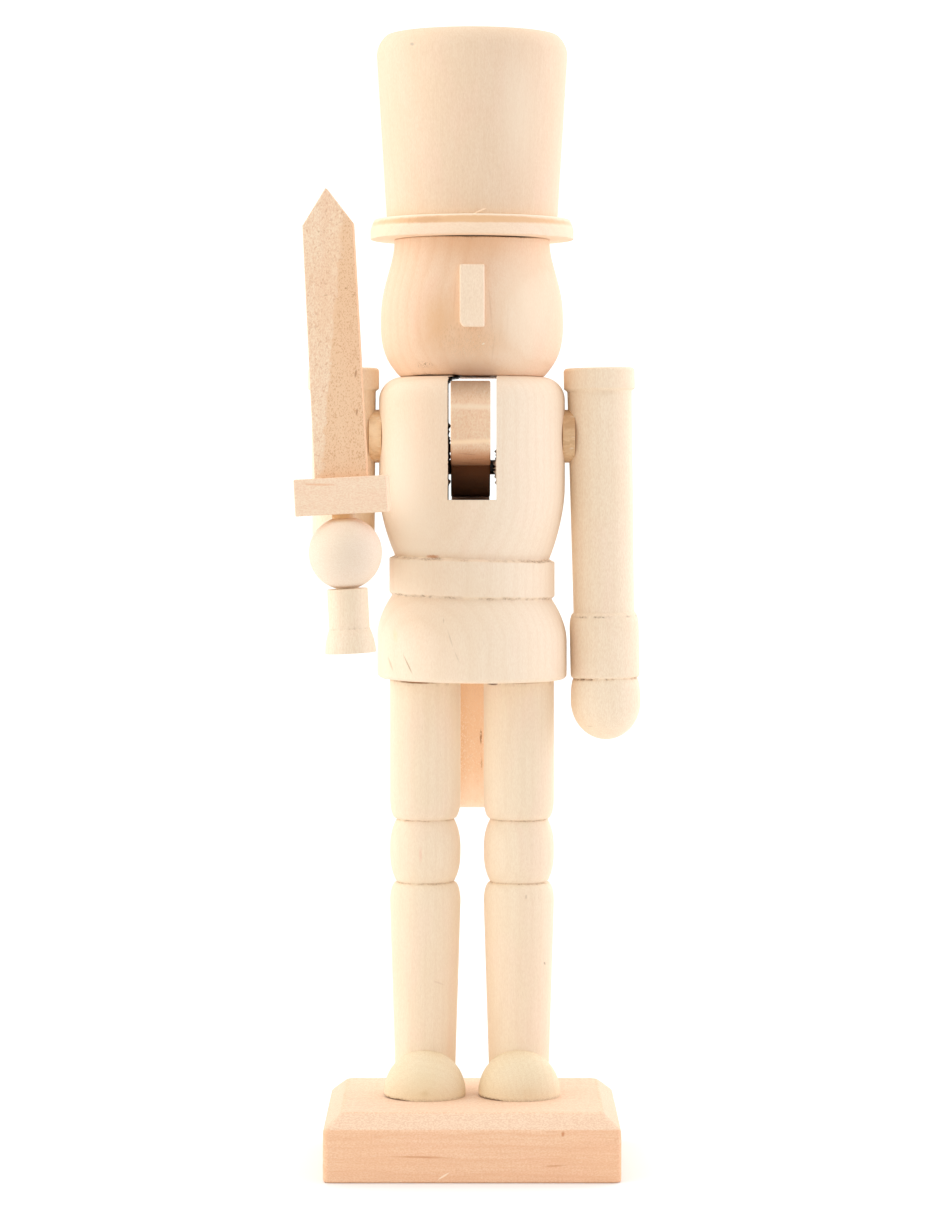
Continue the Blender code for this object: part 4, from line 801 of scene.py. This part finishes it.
# the slot splits the chest in two lobes. Above its floor each row is an arc where |x| > half the slot, and a
# flat wall closes it; below the floor the rows are whole rings on the same columns
def buildTrunk(p, seed):
    line = fineProfile(trunkProfile(p), p["soften"], p["straight"])
    h = p["slotWidth"] / 2
    floor = p["height"] - p["slotDepth"]
    cut = np.searchsorted(-line[:, 1], -floor)
    floorRadius = np.interp(floor, line[cut - 1:cut + 1, 1][::-1], line[cut - 1:cut + 1, 0][::-1])
    steps = np.arange(floor, line[0, 1] - p["wallTop"], p["wallStep"])
    z = np.unique(np.r_[line[:cut, 1], steps])[::-1]
    r = np.interp(-z, -line[:, 1], line[:, 0])
    base = np.arccos(h / floorRadius)
    t = np.linspace(-1.0, 1.0, p["arcCols"])
    backGap = base + (np.pi - 2 * base) * np.linspace(0.0, 1.0, p["slotCols"])[1:-1]
    theta = np.concatenate([base * t, backGap, np.pi + base * t, np.pi + backGap])
    lower = np.concatenate([[(floorRadius, floor)], line[cut:]])
    radius, height, grimeAndShade = skirtRings(p, lower, theta, seed)
    radius, height, grimeAndShade = [np.vstack([grid[:1], grid]) for grid in (radius, height, grimeAndShade)]
    rings, quads, tris = latheMesh(radius, height, theta)
    tris = tris[len(theta):]                            # the slot's floor stands in for the top pole
    allVerts, allQuads, allGrimeAndShade = [rings], [quads], [latheValues(grimeAndShade)]

    def addGrid(grid, flip=False, soil=None):
        rows, cols = grid.shape[:2]
        q = gridQuads(rows, cols, first=sum(len(v) for v in allVerts))
        allVerts.append(grid.reshape(-1, 3))
        allQuads.append(q[:, ::-1] if flip else q)
        allGrimeAndShade.append(np.zeros(rows * cols) if soil is None else soil.ravel())

    opening = np.arccos(np.clip(h / r, -1, 1))
    w = np.linspace(-1.0, 1.0, p["wallCols"])
    for sign, middle in ((1, 0.0), (-1, np.pi)):
        phi = middle + opening[:, None] * t[None, :]
        level = np.broadcast_to(z[:, None], phi.shape)
        lobe = np.stack([r[:, None] * np.cos(phi), r[:, None] * np.sin(phi), level], axis=-1)
        addGrid(lobe)
        wallY = (r * np.sin(opening))[:, None] * w[None, :]
        level = np.broadcast_to(z[:, None], wallY.shape)
        wall = np.stack([np.full_like(wallY, sign * h), wallY, level], axis=-1)
        addGrid(wall, sign > 0, wallShade(sign, z, w))
        # flat top of the lobe, between the arc and the wall
        inner = lobe[0].copy()
        inner[:, 0] = sign * h
        share = np.linspace(0.0, 1.0, p["topRows"])[:, None, None]
        addGrid(inner[None] * (1 - share) + lobe[0][None] * share)
    # slot floor, front to back
    x = floorRadius * np.cos(np.concatenate([[base], backGap, [np.pi - base]]))
    y = np.sqrt(floorRadius ** 2 - x ** 2)
    floorY = w[:, None] * y[None, :]
    floorX = np.broadcast_to(x, floorY.shape)
    # painted shade on the slot's floor under the lever, from just behind its front edge
    under = np.abs(floorX - slot["floorMiddle"]) < slot["floorHalf"]
    soil = slot["floorShade"] * under * easeIn(w[:, None], *slot["floorFront"])
    addGrid(np.stack([floorX, floorY, np.full(floorY.shape, floor)], axis=-1), False, soil)
    verts = np.concatenate(allVerts)
    easeSlot(p, verts, floor, seed)
    return verts, np.concatenate(allQuads), tris, np.concatenate(allGrimeAndShade)


verts, quads, tris, grimeAndShade = buildTrunk(trunk, seed=21)
addPiece("bodyTurning", toWorld(verts, None, (0, figureY, trunk["foot"])), quads, tris, "figure", ["body"],
         "turned_basswood", bodyWood, grimeAndShade, bevel=trunk["edge"], weld=True)
print("body done")


# Jaw lever

lever = {"width": 10.6, "pivot": (-0.4, 7.0, 187.5), "edge": 0.45, "arcSteps": 10, "hub": 8.1, "hubSteps": 20,
         # corners (y, z, round) about the pin: jaw before the hub, tail after it
         "jaw": [(3.0, 23.0, 3.0), (-24.8, 23.0, 1.0), (-24.8, 0.449, 6.0)],
         "tail": [(26.1, -8.1, 1.5), (26.1, -95.5, 3.0), (35.6, -95.5, 3.0), (35.6, 2.629, 14.0)]}


# closed outline with each corner turned into an arc between its two tangent points
def roundedOutline(corners, steps):
    points = []
    for n, (u, v, r) in enumerate(corners):
        here = np.array([u, v])
        if r == 0:
            points.append(here[None])
            continue
        back = np.array(corners[n - 1][:2]) - here
        on = np.array(corners[(n + 1) % len(corners)][:2]) - here
        back, on = back / np.hypot(*back), on / np.hypot(*on)
        half = np.arccos(np.clip(back @ on, -1, 1)) / 2
        middle = back + on
        centre = here + middle / np.hypot(*middle) * r / np.sin(half)
        first, last = here + back * r / np.tan(half) - centre, here + on * r / np.tan(half) - centre
        start = np.arctan2(first[1], first[0])
        swing = np.arctan2(first[0] * last[1] - first[1] * last[0], first @ last)
        a = start + swing * np.linspace(0, 1, steps)
        points.append(centre + r * np.stack([np.cos(a), np.sin(a)], axis=1))
    return np.concatenate(points)


chin = lever["jaw"][-1][1]
hubStart = 180 - np.degrees(np.arcsin(chin / lever["hub"]))
hubArc = arcPoints((0, 0), lever["hub"], lever["hub"], hubStart, 270, lever["hubSteps"])
hub = [(y, z, 0) for y, z in hubArc]
outline = roundedOutline(lever["jaw"] + hub + lever["tail"], lever["arcSteps"])
boardPiece("jawLeverBoard", outline, -lever["width"] / 2, lever["width"] / 2, (1, 2, 0), None, lever["pivot"],
           "jaw", ["jaw_lever"], leverWood, lever["edge"])
print("jaw done")


# Head, nose and hat

head = {"foot": 212.3, "height": 36.8, "radius": 24.8, "cheek": 14.2, "chinRadius": 19.5, "topRadius": 21.1,
        "fullness": 2.5, "brow": 1.25, "soften": 0.3, "steps": 60, "spokes": 160, "ease": 2.0,
        # depth, width, dirt, vary; these two have no depth, and their dark lines are painted shade in the
        # joints
        "brimJoint": (0.0, 0.3, 0.6, 0.2), "bodyJoint": (0.0, 0.4, 0.5, 0.4),
        # spans where a joint is closed: start and fade along the cosine from -1 at -X to 1 at +X
        "upRight": (-0.05, -0.6), "upLeft": (0.62, 0.25), "downLeft": (-0.24, 0.08),
        "downRight": (-0.72, -0.2), "downRightShare": 0.8}


# lower round r = R(1 - (drop/reach)^fullness)^(1/fullness), brow an S-curve up to the brim
def headProfile(p):
    power, tall = p["fullness"], p["height"] - p["cheek"]
    reach = p["cheek"] / (1 - (p["chinRadius"] / p["radius"]) ** power) ** (1 / power)
    t = np.linspace(1.0, 0.0, p["steps"])
    browRadius = p["topRadius"] + (p["radius"] - p["topRadius"]) * (1 + np.cos(np.pi * t ** p["brow"])) / 2
    brow = np.stack([browRadius, p["cheek"] + tall * t], axis=1)
    drop = p["cheek"] * np.sin(np.linspace(0.0, np.pi / 2, p["steps"]))
    chin = np.stack([p["radius"] * (1 - (drop / reach) ** power) ** (1 / power), p["cheek"] - drop], axis=1)
    return np.concatenate([[(0.0, p["height"])], brow, chin[1:], [(0.0, 0.0)]])


rims = [(head["height"], *head["brimJoint"]), (0.0, *head["bodyJoint"])]
headLine = fineProfile(headProfile(head), head["soften"])
theta, radius, height, grimeAndShade = turnPiece(headLine, head["spokes"], rims, seed=31)
# the head sits a little skew: it is up at the brim towards -X and at far +X, down on the body from beside
# the slot to +X and at far -X, and its joints are open elsewhere; the joints' painted shade stays only where
# they are open
side = np.cos(theta)[None, :]
upAt = easeIn(side, *head["upRight"]) + easeIn(side, *head["upLeft"])
upAt = upAt * np.clip((height - head["height"]) / head["ease"] + 1, 0, 1)
downAt = easeIn(side, *head["downLeft"]) + head["downRightShare"] * easeIn(side, *head["downRight"])
downAt = downAt * np.clip(1 - height / head["ease"], 0, 1)
turned = (theta, radius, height + jointSeat * (upAt - downAt), grimeAndShade * (1 - upAt - downAt))
addTurning("headTurning", turned, None, (0, figureY, head["foot"]), "figure", ["head"], "head_wood", headWood)

nose = {"width": 6.6, "foot": 224.7, "top": 241.5, "back": -14.5, "tip": -21.4, "bridge": -18.6, "nick": 0.9,
        "nickSlope": 1.6, "edge": 0.5}
w = nose["width"] / 2
nickTop = nose["foot"] + nose["nickSlope"] * nose["nick"]
outline = np.array([(-w + nose["nick"], nose["foot"]), (w, nose["foot"]), (w, nose["top"]), (-w, nose["top"]),
                    (-w, nickTop)])
front = np.interp(outline[:, 1], (nose["foot"], nose["top"]), (nose["tip"], nose["bridge"]))
boardPiece("noseBlock", outline, front, nose["back"], (0, 2, 1), None, (0, 0, 0), "figure", ["nose"],
           noseWood, nose["edge"])

brim = {"foot": 249.4, "thickness": 5.4, "radius": 27.7, "topRadius": 26.7, "bevel": 2.8, "soften": 0.22,
        "spokes": 180}
# a splinter raised by the tool, still joined to the edge
splinter = {"length": 4.1, "radius": 0.24, "place": (0.3, -25.2, 5.35), "tilt": 66.0, "swing": 20.0,
            "fullness": 0.7, "rows": 12, "spokes": 8}
line = fineProfile([(0, brim["thickness"]), (brim["topRadius"], brim["thickness"]),
                    (brim["radius"], brim["thickness"] - brim["bevel"]), (brim["radius"], 0), (0, 0)],
                   brim["soften"])
theta, radius, height, grimeAndShade = turnPiece(line, brim["spokes"], seed=33)
verts, quads, tris = latheMesh(radius, height, theta)
u = np.linspace(1.0, 0.0, splinter["rows"])[:, None] * np.ones(splinter["spokes"])
sliverTheta = np.arange(splinter["spokes"]) * 2 * np.pi / splinter["spokes"]
sliverRadius = splinter["radius"] * np.sin(np.pi * u) ** splinter["fullness"]
sliver, sliverQuads, sliverTris = latheMesh(sliverRadius, splinter["length"] * u, sliverTheta)
quads = np.concatenate([quads, sliverQuads + len(verts)])
tris = np.concatenate([tris, sliverTris + len(verts)])
sliverTurn = rot("z", splinter["swing"]) @ rot("y", splinter["tilt"])
verts = np.concatenate([verts, toWorld(sliver, sliverTurn, splinter["place"])])
addPiece("brimDisc", toWorld(verts, None, (0, figureY, brim["foot"])), quads, tris, "figure", ["hat_brim"],
         "brim_wood", brimWood)

crown = {"foot": 255.1, "height": 49.8, "footRadius": 23.3, "radius": 26.0, "topRadius": 23.3, "ease": 5.5,
         "soften": 0.35, "spokes": 160}


# wall tapers to the foot; a round of radius (ease^2 + inset^2) / 2 inset leaves it upright below the flat top
def crownProfile(p):
    inset = p["radius"] - p["topRadius"]
    r = (p["ease"] ** 2 + inset ** 2) / (2 * inset)
    end = np.degrees(np.arcsin(p["ease"] / r))
    return np.concatenate([
        [(0.0, p["height"])],
        arcPoints((p["radius"] - r, p["height"] - p["ease"]), r, r, end, 0),
        [(p["footRadius"], -jointSeat), (0.0, -jointSeat)]])


crownLine = fineProfile(crownProfile(crown), crown["soften"])
addTurning("crownTurning", turnPiece(crownLine, crown["spokes"], seed=35), None, (0, figureY, crown["foot"]),
           "figure", ["hat_crown"], "turned_basswood", crownWood)
print("head and hat done")


# Arms

arm = {"x": 35.0, "pivotZ": 195.9, "rise": 18.6, "cap": 6.3, "capRadius": 9.7, "capEdge": 0.6,
       "topRadius": 8.8, "wristRadius": 8.3, "shaft": 60.2, "flare": 4.1, "flareStart": 70.0, "cuff": 13.8,
       "cuffRadius": 9.45, "cuffEdge": 1.2, "grooveRadius": 8.6, "neck": 6.2, "handRadius": 9.55,
       "tip": 10.55, "tipSteps": 40, "lean": 1.144, "yaw": 2.7, "elbowDrop": 30.8, "mitreRun": 12.0,
       "mitreRows": 24, "mitreGap": 0.21, "soften": 0.2, "spokes": 104,
       # depth, width, dirt, vary
       "handCut": (0.4, 0.26, 0.8, 0.6), "cuffCut": (0.12, 0.2, 0.55, 0.5), "cuffCutDrop": 1.0}
armLevel = {"capFoot": arm["rise"] - arm["cap"]}
armLevel["flareTop"] = armLevel["capFoot"] - arm["shaft"]
armLevel["cuffTop"] = armLevel["flareTop"] - arm["flare"]
armLevel["groove"] = armLevel["cuffTop"] - arm["cuff"]
armLevel["widest"] = armLevel["groove"] - arm["neck"]
armLevel["cuffCut"] = armLevel["flareTop"] - arm["cuffCutDrop"]
armCuts = [(armLevel["groove"], *arm["handCut"]), (armLevel["cuffCut"], *arm["cuffCut"])]


def shaftRadius(level):
    down = armLevel["capFoot"] - level
    return arm["topRadius"] + (arm["wristRadius"] - arm["topRadius"]) * down / arm["shaft"]


def capPoints(p):
    low, top, r, e = armLevel["capFoot"], p["rise"], p["capRadius"], p["capEdge"]
    return np.array([(0.0, top), (r - e, top), (r, top - e), (r, low + e), (p["topRadius"], low)])


# flare, cuff, groove and round hand below the wrist
def handPoints(p):
    wrist, cuff, groove, e = p["wristRadius"], p["cuffRadius"], p["grooveRadius"], p["cuffEdge"]
    hand, widest = p["handRadius"], armLevel["widest"]
    return np.concatenate([
        [(wrist, armLevel["flareTop"])],
        arcPoints((wrist, armLevel["cuffTop"]), cuff - wrist, p["flare"], p["flareStart"], 0),
        arcPoints((groove, armLevel["groove"] + e), cuff - groove, e, 0, -90),
        arcPoints((groove, widest), hand - groove, p["neck"], 90, 0),
        arcPoints((0.0, widest), hand, p["tip"], 0, -90, p["tipSteps"])])


# upper arm: rows run from the cap down to the mitre plane z = -y through the elbow, column by column
def turnUpperArm(p, seed):
    elbowZ = -p["elbowDrop"]
    stop = elbowZ + p["mitreRun"]
    line = fineProfile(np.concatenate([capPoints(p), [(shaftRadius(stop), stop)]]), p["soften"])
    theta, radius, height, grimeAndShade = turnPiece(line, p["spokes"], seed=seed)
    end = elbowZ - shaftRadius(elbowZ) * np.sin(theta - np.radians(p["yaw"])) + p["mitreGap"]
    share = np.linspace(0.0, 1.0, p["mitreRows"])[1:, None]
    toMitre = height[-1][None, :] * (1 - share) + end[None, :] * share
    pole = np.zeros((1, len(theta)))
    radius = np.vstack([radius, shaftRadius(toMitre), pole])
    height = np.vstack([height, toMitre, pole + elbowZ + p["mitreGap"]])
    return theta, radius, height, np.vstack([grimeAndShade, np.zeros((p["mitreRows"], len(theta)))])


# forearm in its own frame along Z, from the mitre to the hand's end
def turnForearm(p, seed):
    elbowZ = -p["elbowDrop"]
    start = elbowZ - p["mitreRun"]
    line = fineProfile(np.concatenate([[(shaftRadius(start), start)], handPoints(p)]), p["soften"])
    theta, radius, height, grimeAndShade = turnPiece(line, p["spokes"], armCuts, seed)
    # after the turn that lays the arm along -Y, its local +Y side faces down
    end = elbowZ + shaftRadius(elbowZ) * np.sin(theta) - p["mitreGap"]
    share = np.linspace(0.0, 1.0, p["mitreRows"])[:-1, None]
    fromMitre = end[None, :] * (1 - share) + height[0][None, :] * share
    pole = np.zeros((1, len(theta)))
    radius = np.vstack([pole, shaftRadius(fromMitre), radius])
    height = np.vstack([pole + elbowZ - p["mitreGap"], fromMitre, height])
    return theta, radius, height - elbowZ, np.vstack([np.zeros((p["mitreRows"], len(theta))), grimeAndShade])


line = fineProfile(np.concatenate([capPoints(arm), handPoints(arm)]), arm["soften"])
addTurning("straightArmTurning", turnPiece(line, arm["spokes"], armCuts, seed=41), rot("y", -arm["lean"]),
           (arm["x"], figureY, arm["pivotZ"]), "straight_arm", ["left_arm"], "turned_basswood", armWood)
addTurning("swordUpperArmTurning", turnUpperArm(arm, seed=43), None, (-arm["x"], figureY, arm["pivotZ"]),
           "sword_arm", ["right_upper_arm"], "turned_basswood", armWood)
elbow = np.array([-arm["x"], figureY, arm["pivotZ"] - arm["elbowDrop"]])
addTurning("swordForearmTurning", turnForearm(arm, seed=44), rot("z", arm["yaw"]) @ rot("x", -90), elbow,
           "sword_arm", ["right_forearm"], "turned_basswood", forearmWood)

spacer = {"radius": 7.25, "low": 24.5, "high": 27.9, "soften": 0.2, "spokes": 64}
low, high, r = spacer["low"], spacer["high"], spacer["radius"]
line = fineProfile([(0, high), (r, high), (r, low), (0, low)], spacer["soften"])
for side, sign, seed in (("right", -1, 46), ("left", 1, 47)):
    addTurning(side + "SpacerDisc", turnPiece(line, spacer["spokes"], seed=seed), rot("y", sign * 90),
               (0, figureY, arm["pivotZ"]), "figure", [side + "_shoulder_spacer"], "foot_wood", spacerWood)
print("arms done")


# Sword

sword = {"lean": 3.0, "yaw": 6.0, "handDrop": 72.0, "guardRise": 10.2, "guardWidth": 24.2, "guardHeight": 9.6,
         "guardDepth": 11.0, "guardEdge": 0.35, "bladeLength": 66.0, "footWidth": 13.8, "topWidth": 13.2,
         "thickness": 5.0, "point": 9.6, "tenon": 4.0, "bladeEdge": 0.3, "hiltRadius": 5.3,
         "hiltLength": 10.4, "pommelRadius": 6.7, "pommelLength": 6.4, "bearing": 9.3, "pegRadius": 3.0,
         "pegReach": 3.0, "soften": 0.15, "flat": 0.02, "spokes": 72,
         # depth, width, dirt, vary
         "pommelCut": (0.12, 0.2, 0.3, 0.4)}
grip = elbow + rot("z", arm["yaw"]) @ np.array([0, -(sword["handDrop"] - arm["elbowDrop"]), 0])
gripTurn = rot("z", arm["yaw"]) @ rot("z", -sword["yaw"]) @ rot("y", -sword["lean"])
guardFoot, guardTop = sword["guardRise"], sword["guardRise"] + sword["guardHeight"]
w, d = sword["guardWidth"] / 2, sword["guardDepth"] / 2
outline = np.array([(-w, guardFoot), (w, guardFoot), (w, guardTop), (-w, guardTop)])
boardPiece("swordGuardBlock", outline, -d, d, (0, 2, 1), gripTurn, grip, "sword_arm", ["sword_guard"],
           guardWood, sword["guardEdge"])
bladeFoot, shoulder = guardTop - sword["tenon"], guardTop + sword["bladeLength"]
f, t, d = sword["footWidth"] / 2, sword["topWidth"] / 2, sword["thickness"] / 2
point = shoulder + sword["point"]
outline = np.array([(-f, bladeFoot), (f, bladeFoot), (t, shoulder), (0, point), (-t, shoulder)])
boardPiece("swordBladeBoard", outline, -d, d, (0, 2, 1), gripTurn, grip, "sword_arm", ["sword_blade"],
           bladeWood, sword["bladeEdge"])
pegTop, hiltTop = guardFoot + sword["pegReach"], -sword["bearing"]
hiltFoot = hiltTop - sword["hiltLength"]
pommelFoot = hiltFoot - sword["pommelLength"]
peg, hilt = sword["pegRadius"], sword["hiltRadius"]
line = fineProfile(np.concatenate([
    [(0.0, pegTop), (peg, pegTop), (peg, hiltTop), (hilt, hiltTop), (hilt, hiltFoot)],
    sweepPoints((hilt, hiltFoot), (sword["pommelRadius"], pommelFoot), "bottom"),
    [(0.0, pommelFoot)]]), sword["soften"])
turned = turnPiece(line, sword["spokes"], [(hiltFoot, *sword["pommelCut"])], seed=51, flat=sword["flat"])
addTurning("swordHiltTurning", turned, gripTurn, grip, "sword_arm", ["sword_hilt"], "turned_basswood",
           hiltWood)
print("sword done")


# Nodes that stay as they are: dowels and the steel pin

# the pin is coloured darker than bare steel, painted shade of the slot it sits in
pinSteel = {"drawn": (300, 4000, 4000), "detail": 3.0, "dark": (0.10, 0.095, 0.09),
            "bright": (0.26, 0.25, 0.24), "rough": 0.25, "roughSpread": 0.25}


def makeSteel(look):
    mat = bpy.data.materials.new("pin steel")
    mat.use_nodes = True
    tree = mat.node_tree
    shader = tree.nodes["Principled BSDF"]
    shader.inputs["Metallic"].default_value = 1.0
    coord = addNode(tree, "ShaderNodeTexCoord").outputs["Object"]
    drawn = addNode(tree, "ShaderNodeMapping", {"Vector": coord, "Scale": look["drawn"]})
    mark = addNode(tree, "ShaderNodeTexNoise", {"Vector": drawn.outputs[0], "Scale": 1.0,
                   "Detail": look["detail"]}).outputs[0]
    tree.links.new(mixColour(tree, mark, look["dark"], look["bright"]), shader.inputs["Base Color"])
    rough = mathNode(tree, "ADD", mathNode(tree, "MULTIPLY", mark, look["roughSpread"]), look["rough"])
    tree.links.new(rough, shader.inputs["Roughness"])
    return mat


steel = makeSteel(pinSteel)
for name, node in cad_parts.items():
    if name.endswith("_dowel") or name == "jaw_pin":
        node.data.materials.clear()
        node.data.materials.append(steel if name == "jaw_pin" else dowelWood)
print("dowels and pin finished")


# Studio: white floor, tall lights at both sides, dim behind the camera

# floor sizes are metres, angles degrees
studio = {"floor": 0.92, "floorRough": 0.9, "floorGloss": 0.1, "half": 3.0, "near": -0.16, "dimAngle": 40.0,
          "lampRight": 0.80, "lampLeft": 2.12, "lampTurn": 0.3, "lampPower": 4.0,
          "sideTint": (1.0, 0.965, 1.08), "hazeTint": (1.0, 1.012, 0.985),
          "ramp": ((-1.0, 0.42), (-0.6, 0.66), (-0.2, 1.15), (0.2, 1.85), (1.0, 0.9))}
paper = bpy.data.materials.new("floor paper")
paper.use_nodes = True
shader = paper.node_tree.nodes["Principled BSDF"]
shader.inputs["Base Color"].default_value = (studio["floor"], studio["floor"], studio["floor"], 1)
shader.inputs["Roughness"].default_value = studio["floorRough"]
shader.inputs["Specular IOR Level"].default_value = studio["floorGloss"]
# the front half of the floor shows in views from behind, and throws no light back on the figure
half, near = studio["half"], studio["near"]
for name, low, high, bounces in (("floorSheet", near, half, True), ("frontSheet", -half, near, False)):
    mesh = bpy.data.meshes.new(name)
    mesh.from_pydata([(-half, low, 0), (half, low, 0), (half, high, 0), (-half, high, 0)], [], [(0, 1, 2, 3)])
    mesh.materials.append(paper)
    sheet = bpy.data.objects.new(name, mesh)
    bpy.context.scene.collection.objects.link(sheet)
    sheet.visible_diffuse = sheet.visible_glossy = sheet.visible_shadow = bounces

# strength = ramp from the dim direction, front and towards +X, to the back + x^4 lobes for the side lights;
# the ramp's values are halved into its 0 to 1 and doubled again
world = bpy.data.worlds.new("studio")
bpy.context.scene.world = world
world.use_nodes = True
tree = world.node_tree
sky = addNode(tree, "ShaderNodeTexCoord").outputs["Generated"]
aim = addNode(tree, "ShaderNodeSeparateXYZ", {0: sky}).outputs[0]
dim = np.radians(studio["dimAngle"])
depth = addNode(tree, "ShaderNodeVectorMath", {0: sky, 1: (-np.sin(dim), np.cos(dim), 0)},
                operation="DOT_PRODUCT").outputs["Value"]
share = mathNode(tree, "MULTIPLY", mathNode(tree, "ADD", depth, 1.0), 0.5)
haze = rampNode(tree, share, [((d + 1) / 2, v / 2) for d, v in studio["ramp"]])
haze = mathNode(tree, "MULTIPLY", haze, 2.0)
lamp = addNode(tree, "ShaderNodeMapRange", {"Value": aim, "From Min": -studio["lampTurn"],
               "From Max": studio["lampTurn"], "To Min": studio["lampRight"],
               "To Max": studio["lampLeft"]}).outputs[0]
beam = mathNode(tree, "POWER", mathNode(tree, "ABSOLUTE", aim), studio["lampPower"])
around = tree.nodes["Background"]
around.inputs["Color"].default_value = (*studio["hazeTint"], 1)
tree.links.new(haze, around.inputs["Strength"])
sides = addNode(tree, "ShaderNodeBackground", {"Color": (*studio["sideTint"], 1),
                "Strength": mathNode(tree, "MULTIPLY", beam, lamp)})
both = addNode(tree, "ShaderNodeAddShader", {0: around.outputs[0], 1: sides.outputs[0]})
tree.links.new(both.outputs[0], tree.nodes["World Output"].inputs["Surface"])

# measures in the photo's pixels, and millimetres to a pixel at the figure's axis
view = {"focal": 3600.0, "width": 940, "height": 1215, "horizon": 465.0, "ground": 1155.2, "axisX": 472.0,
        "scale": 0.2725, "sensor": 36.0}
camData = bpy.data.cameras.new("camera")
camData.sensor_fit = "AUTO"
camData.sensor_width = view["sensor"]
camData.lens = view["sensor"] * view["focal"] / view["height"]
camData.shift_y = -(view["height"] / 2 - view["horizon"]) / view["height"]
camera = bpy.data.objects.new("camera", camData)
bpy.context.scene.collection.objects.link(camera)
cameraX = (view["width"] / 2 - view["axisX"]) * view["scale"]
cameraY = figureY - view["focal"] * view["scale"]
cameraZ = (view["ground"] - view["horizon"]) * view["scale"]
camera.location = (cameraX * mm, cameraY * mm, cameraZ * mm)
camera.rotation_euler = (np.pi / 2, 0, 0)
bpy.context.scene.camera = camera
bpy.context.scene.view_settings.view_transform = "Standard"
print("studio and camera set")
